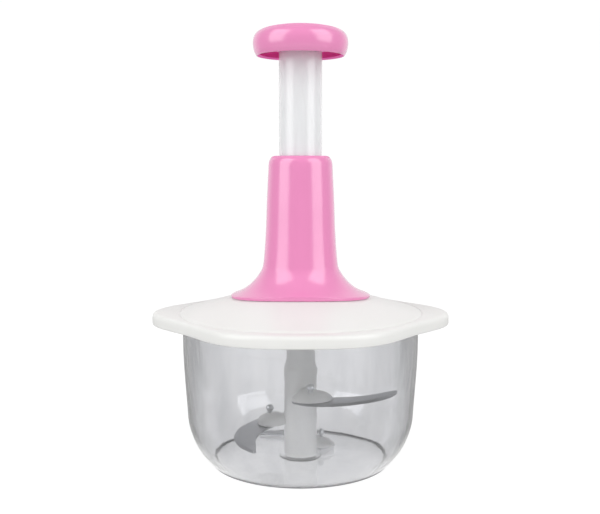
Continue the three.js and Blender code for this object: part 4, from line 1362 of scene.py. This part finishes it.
@dataclass
class Studio:
    """A pale floor, a room, two tall soft boxes and the camera, in metres.

    The camera sees floor and room white, as in the photograph. All that the object reflects, bends and takes
    light from is greyer: a strip of light paper that widens away from the camera, darker paper beside it,
    a light backdrop and a dim room.
    """

    camera_place: Place = (-0.0003, -0.535, 0.1786)
    camera_pitch: float = 5.9
    lens: float = 54.0
    sensor: float = 36.0
    nearest: float = 0.01
    floor_radius: float = 0.85
    floor_drop: float = 0.00005
    floor_colour: str = "#7C7C7C"
    floor_roughness: float = 0.9
    floor_seen: float = 0.9
    paper_half_width: float = 0.052
    paper_widening: float = 0.16
    paper_fade: float = 0.04
    paper_light: float = 0.76
    side_light: float = 0.27
    front_light: float = 0.6
    front_fade: Point = (-0.22, -0.06)
    under_light: float = 1.8
    under_fade: Point = (0.045, 0.06)
    room_seen: float = 1.02
    room_light: float = 0.4
    ceiling_light: float = 0.44
    ceiling_fade: Point = (0.1, 0.9)
    backdrop_light: float = 0.86
    backdrop_fade: Point = (0.3, 0.75)
    boxes: tuple[SoftBox, ...] = field(default_factory=lambda: (
        SoftBox("left_box", (-1.06, -0.63, 0.85)), SoftBox("right_box", (1.06, -0.63, 0.85)),
    ))

    def build_camera(self) -> None:
        """Put the camera where the photograph was taken from."""
        camera = bpy.data.cameras.new("camera")
        camera.lens = self.lens
        camera.sensor_width = self.sensor
        camera.clip_start = self.nearest
        seat = add_object("camera", camera)
        seat.location = self.camera_place
        seat.rotation_euler = (math.radians(90 - self.camera_pitch), 0, 0)
        bpy.context.scene.camera = seat

    def floor_material(self) -> bpy.types.Material:
        """Make the floor's paper.

        Returns:
            A material that is white to the camera and shows the strip of light paper to all else. Under the
            bowl it gives more to rays that were scattered once, which brightens the shaft's foot.
        """
        material = bpy.data.materials.new("pale_floor")
        tree = empty_tree(material)
        place = add_node(tree, "ShaderNodeTexCoord", {}).outputs["Object"]
        spot = add_node(tree, "ShaderNodeSeparateXYZ", {"Vector": place}).outputs
        away = add_node(tree, "ShaderNodeMath", {"0": spot["X"]}, operation="ABSOLUTE").outputs["Value"]
        beside = add_node(tree, "ShaderNodeMath", {
            "0": spot["Y"], "1": -self.paper_widening, "2": away,
        }, operation="MULTIPLY_ADD").outputs["Value"]
        middle, side = (add_node(tree, "ShaderNodeMapRange", {
            "Value": spot["Y"], "From Min": self.front_fade[0], "From Max": self.front_fade[1],
            "To Min": self.front_light, "To Max": light,
        }, interpolation_type="SMOOTHSTEP").outputs["Result"] for light in (
            self.paper_light, self.side_light,
        ))
        glow = add_node(tree, "ShaderNodeMapRange", {
            "Value": beside, "From Min": self.paper_half_width,
            "From Max": self.paper_half_width + self.paper_fade, "To Min": middle, "To Max": side,
        }, interpolation_type="SMOOTHSTEP").outputs["Result"]
        path = add_node(tree, "ShaderNodeLightPath", {}).outputs
        scattered = add_node(tree, "ShaderNodeMath", {
            "0": path["Diffuse Depth"], "1": 1.0,
        }, operation="MINIMUM").outputs["Value"]
        reach = add_node(tree, "ShaderNodeVectorMath", {"0": place}, operation="LENGTH").outputs["Value"]
        under = add_node(tree, "ShaderNodeMapRange", {
            "Value": reach, "From Min": self.under_fade[0], "From Max": self.under_fade[1],
            "To Min": self.under_light, "To Max": 0.0,
        }).outputs["Result"]
        lit = add_node(tree, "ShaderNodeMath", {
            "0": scattered, "1": under, "2": glow,
        }, operation="MULTIPLY_ADD").outputs["Value"]
        strength = add_node(tree, "ShaderNodeMix", {
            "Factor": path["Is Camera Ray"], "2": lit, "3": self.floor_seen,
        }).outputs[0]
        shader = add_node(tree, "ShaderNodeBsdfPrincipled", {
            "Base Color": linear(self.floor_colour), "Roughness": self.floor_roughness,
            "Specular IOR Level": 0.0, "Emission Color": linear(WHITE), "Emission Strength": strength,
        }).outputs["BSDF"]
        add_node(tree, "ShaderNodeOutputMaterial", {"Surface": shader})
        return material

    def build_floor(self) -> None:
        """Lay the round floor, just under the bowl's foot."""
        mesh = bpy.data.meshes.new("floor")
        places, _ = sweep(lambda angle: [(self.floor_radius, 0)], Sides.WIDE)
        mesh.from_pydata(places, [], [tuple(range(len(places)))])
        mesh.materials.append(self.floor_material())
        floor = add_object("floor", mesh)
        floor.location.z = -self.floor_drop

    def build_world(self) -> None:
        """Surround the scene with a room that is white to the camera and grey to all else."""
        bpy.context.scene.world = bpy.data.worlds.new("white_room")
        tree = empty_tree(bpy.context.scene.world)
        place = add_node(tree, "ShaderNodeTexCoord", {}).outputs["Generated"]
        way = add_node(tree, "ShaderNodeSeparateXYZ", {"Vector": place}).outputs
        room, behind = (add_node(tree, "ShaderNodeMapRange", {
            "Value": way[axis], "From Min": fade[0], "From Max": fade[1], "To Min": low, "To Max": high,
        }, interpolation_type="SMOOTHSTEP").outputs["Result"] for axis, fade, low, high in (
            ("Z", self.ceiling_fade, self.room_light, self.ceiling_light),
            ("Y", self.backdrop_fade, 0.0, 1.0),
        ))
        seen = add_node(tree, "ShaderNodeLightPath", {}).outputs["Is Camera Ray"]
        strength = room
        for share, light in ((behind, self.backdrop_light), (seen, self.room_seen)):
            mix = {"Factor": share, "2": strength, "3": light}
            strength = add_node(tree, "ShaderNodeMix", mix).outputs[0]
        sky = add_node(tree, "ShaderNodeBackground", {"Color": linear(WHITE), "Strength": strength})
        add_node(tree, "ShaderNodeOutputWorld", {"Surface": sky.outputs["Background"]})

    def build(self) -> None:
        """Make the studio."""
        bpy.context.scene.view_settings.view_transform = "Standard"
        self.build_world()
        self.build_floor()
        self.build_camera()
        for box in self.boxes:
            box.build()


def main() -> None:
    """Build the studio and the sub-assemblies in order."""
    logging.basicConfig(level=logging.INFO, format="%(message)s")
    Studio().build()
    bowl = ClearBowl()
    bowl.build()
    lid = LobedLid()
    lid.build(bowl)
    FlaredTower().build(lid)
    plunger = Plunger()
    plunger.build()
    ReturnSpring().build()
    PalmCap().build(plunger)
    Rotor().build()
    SpiralDrive().build()


if __name__ == "__main__":
    main()
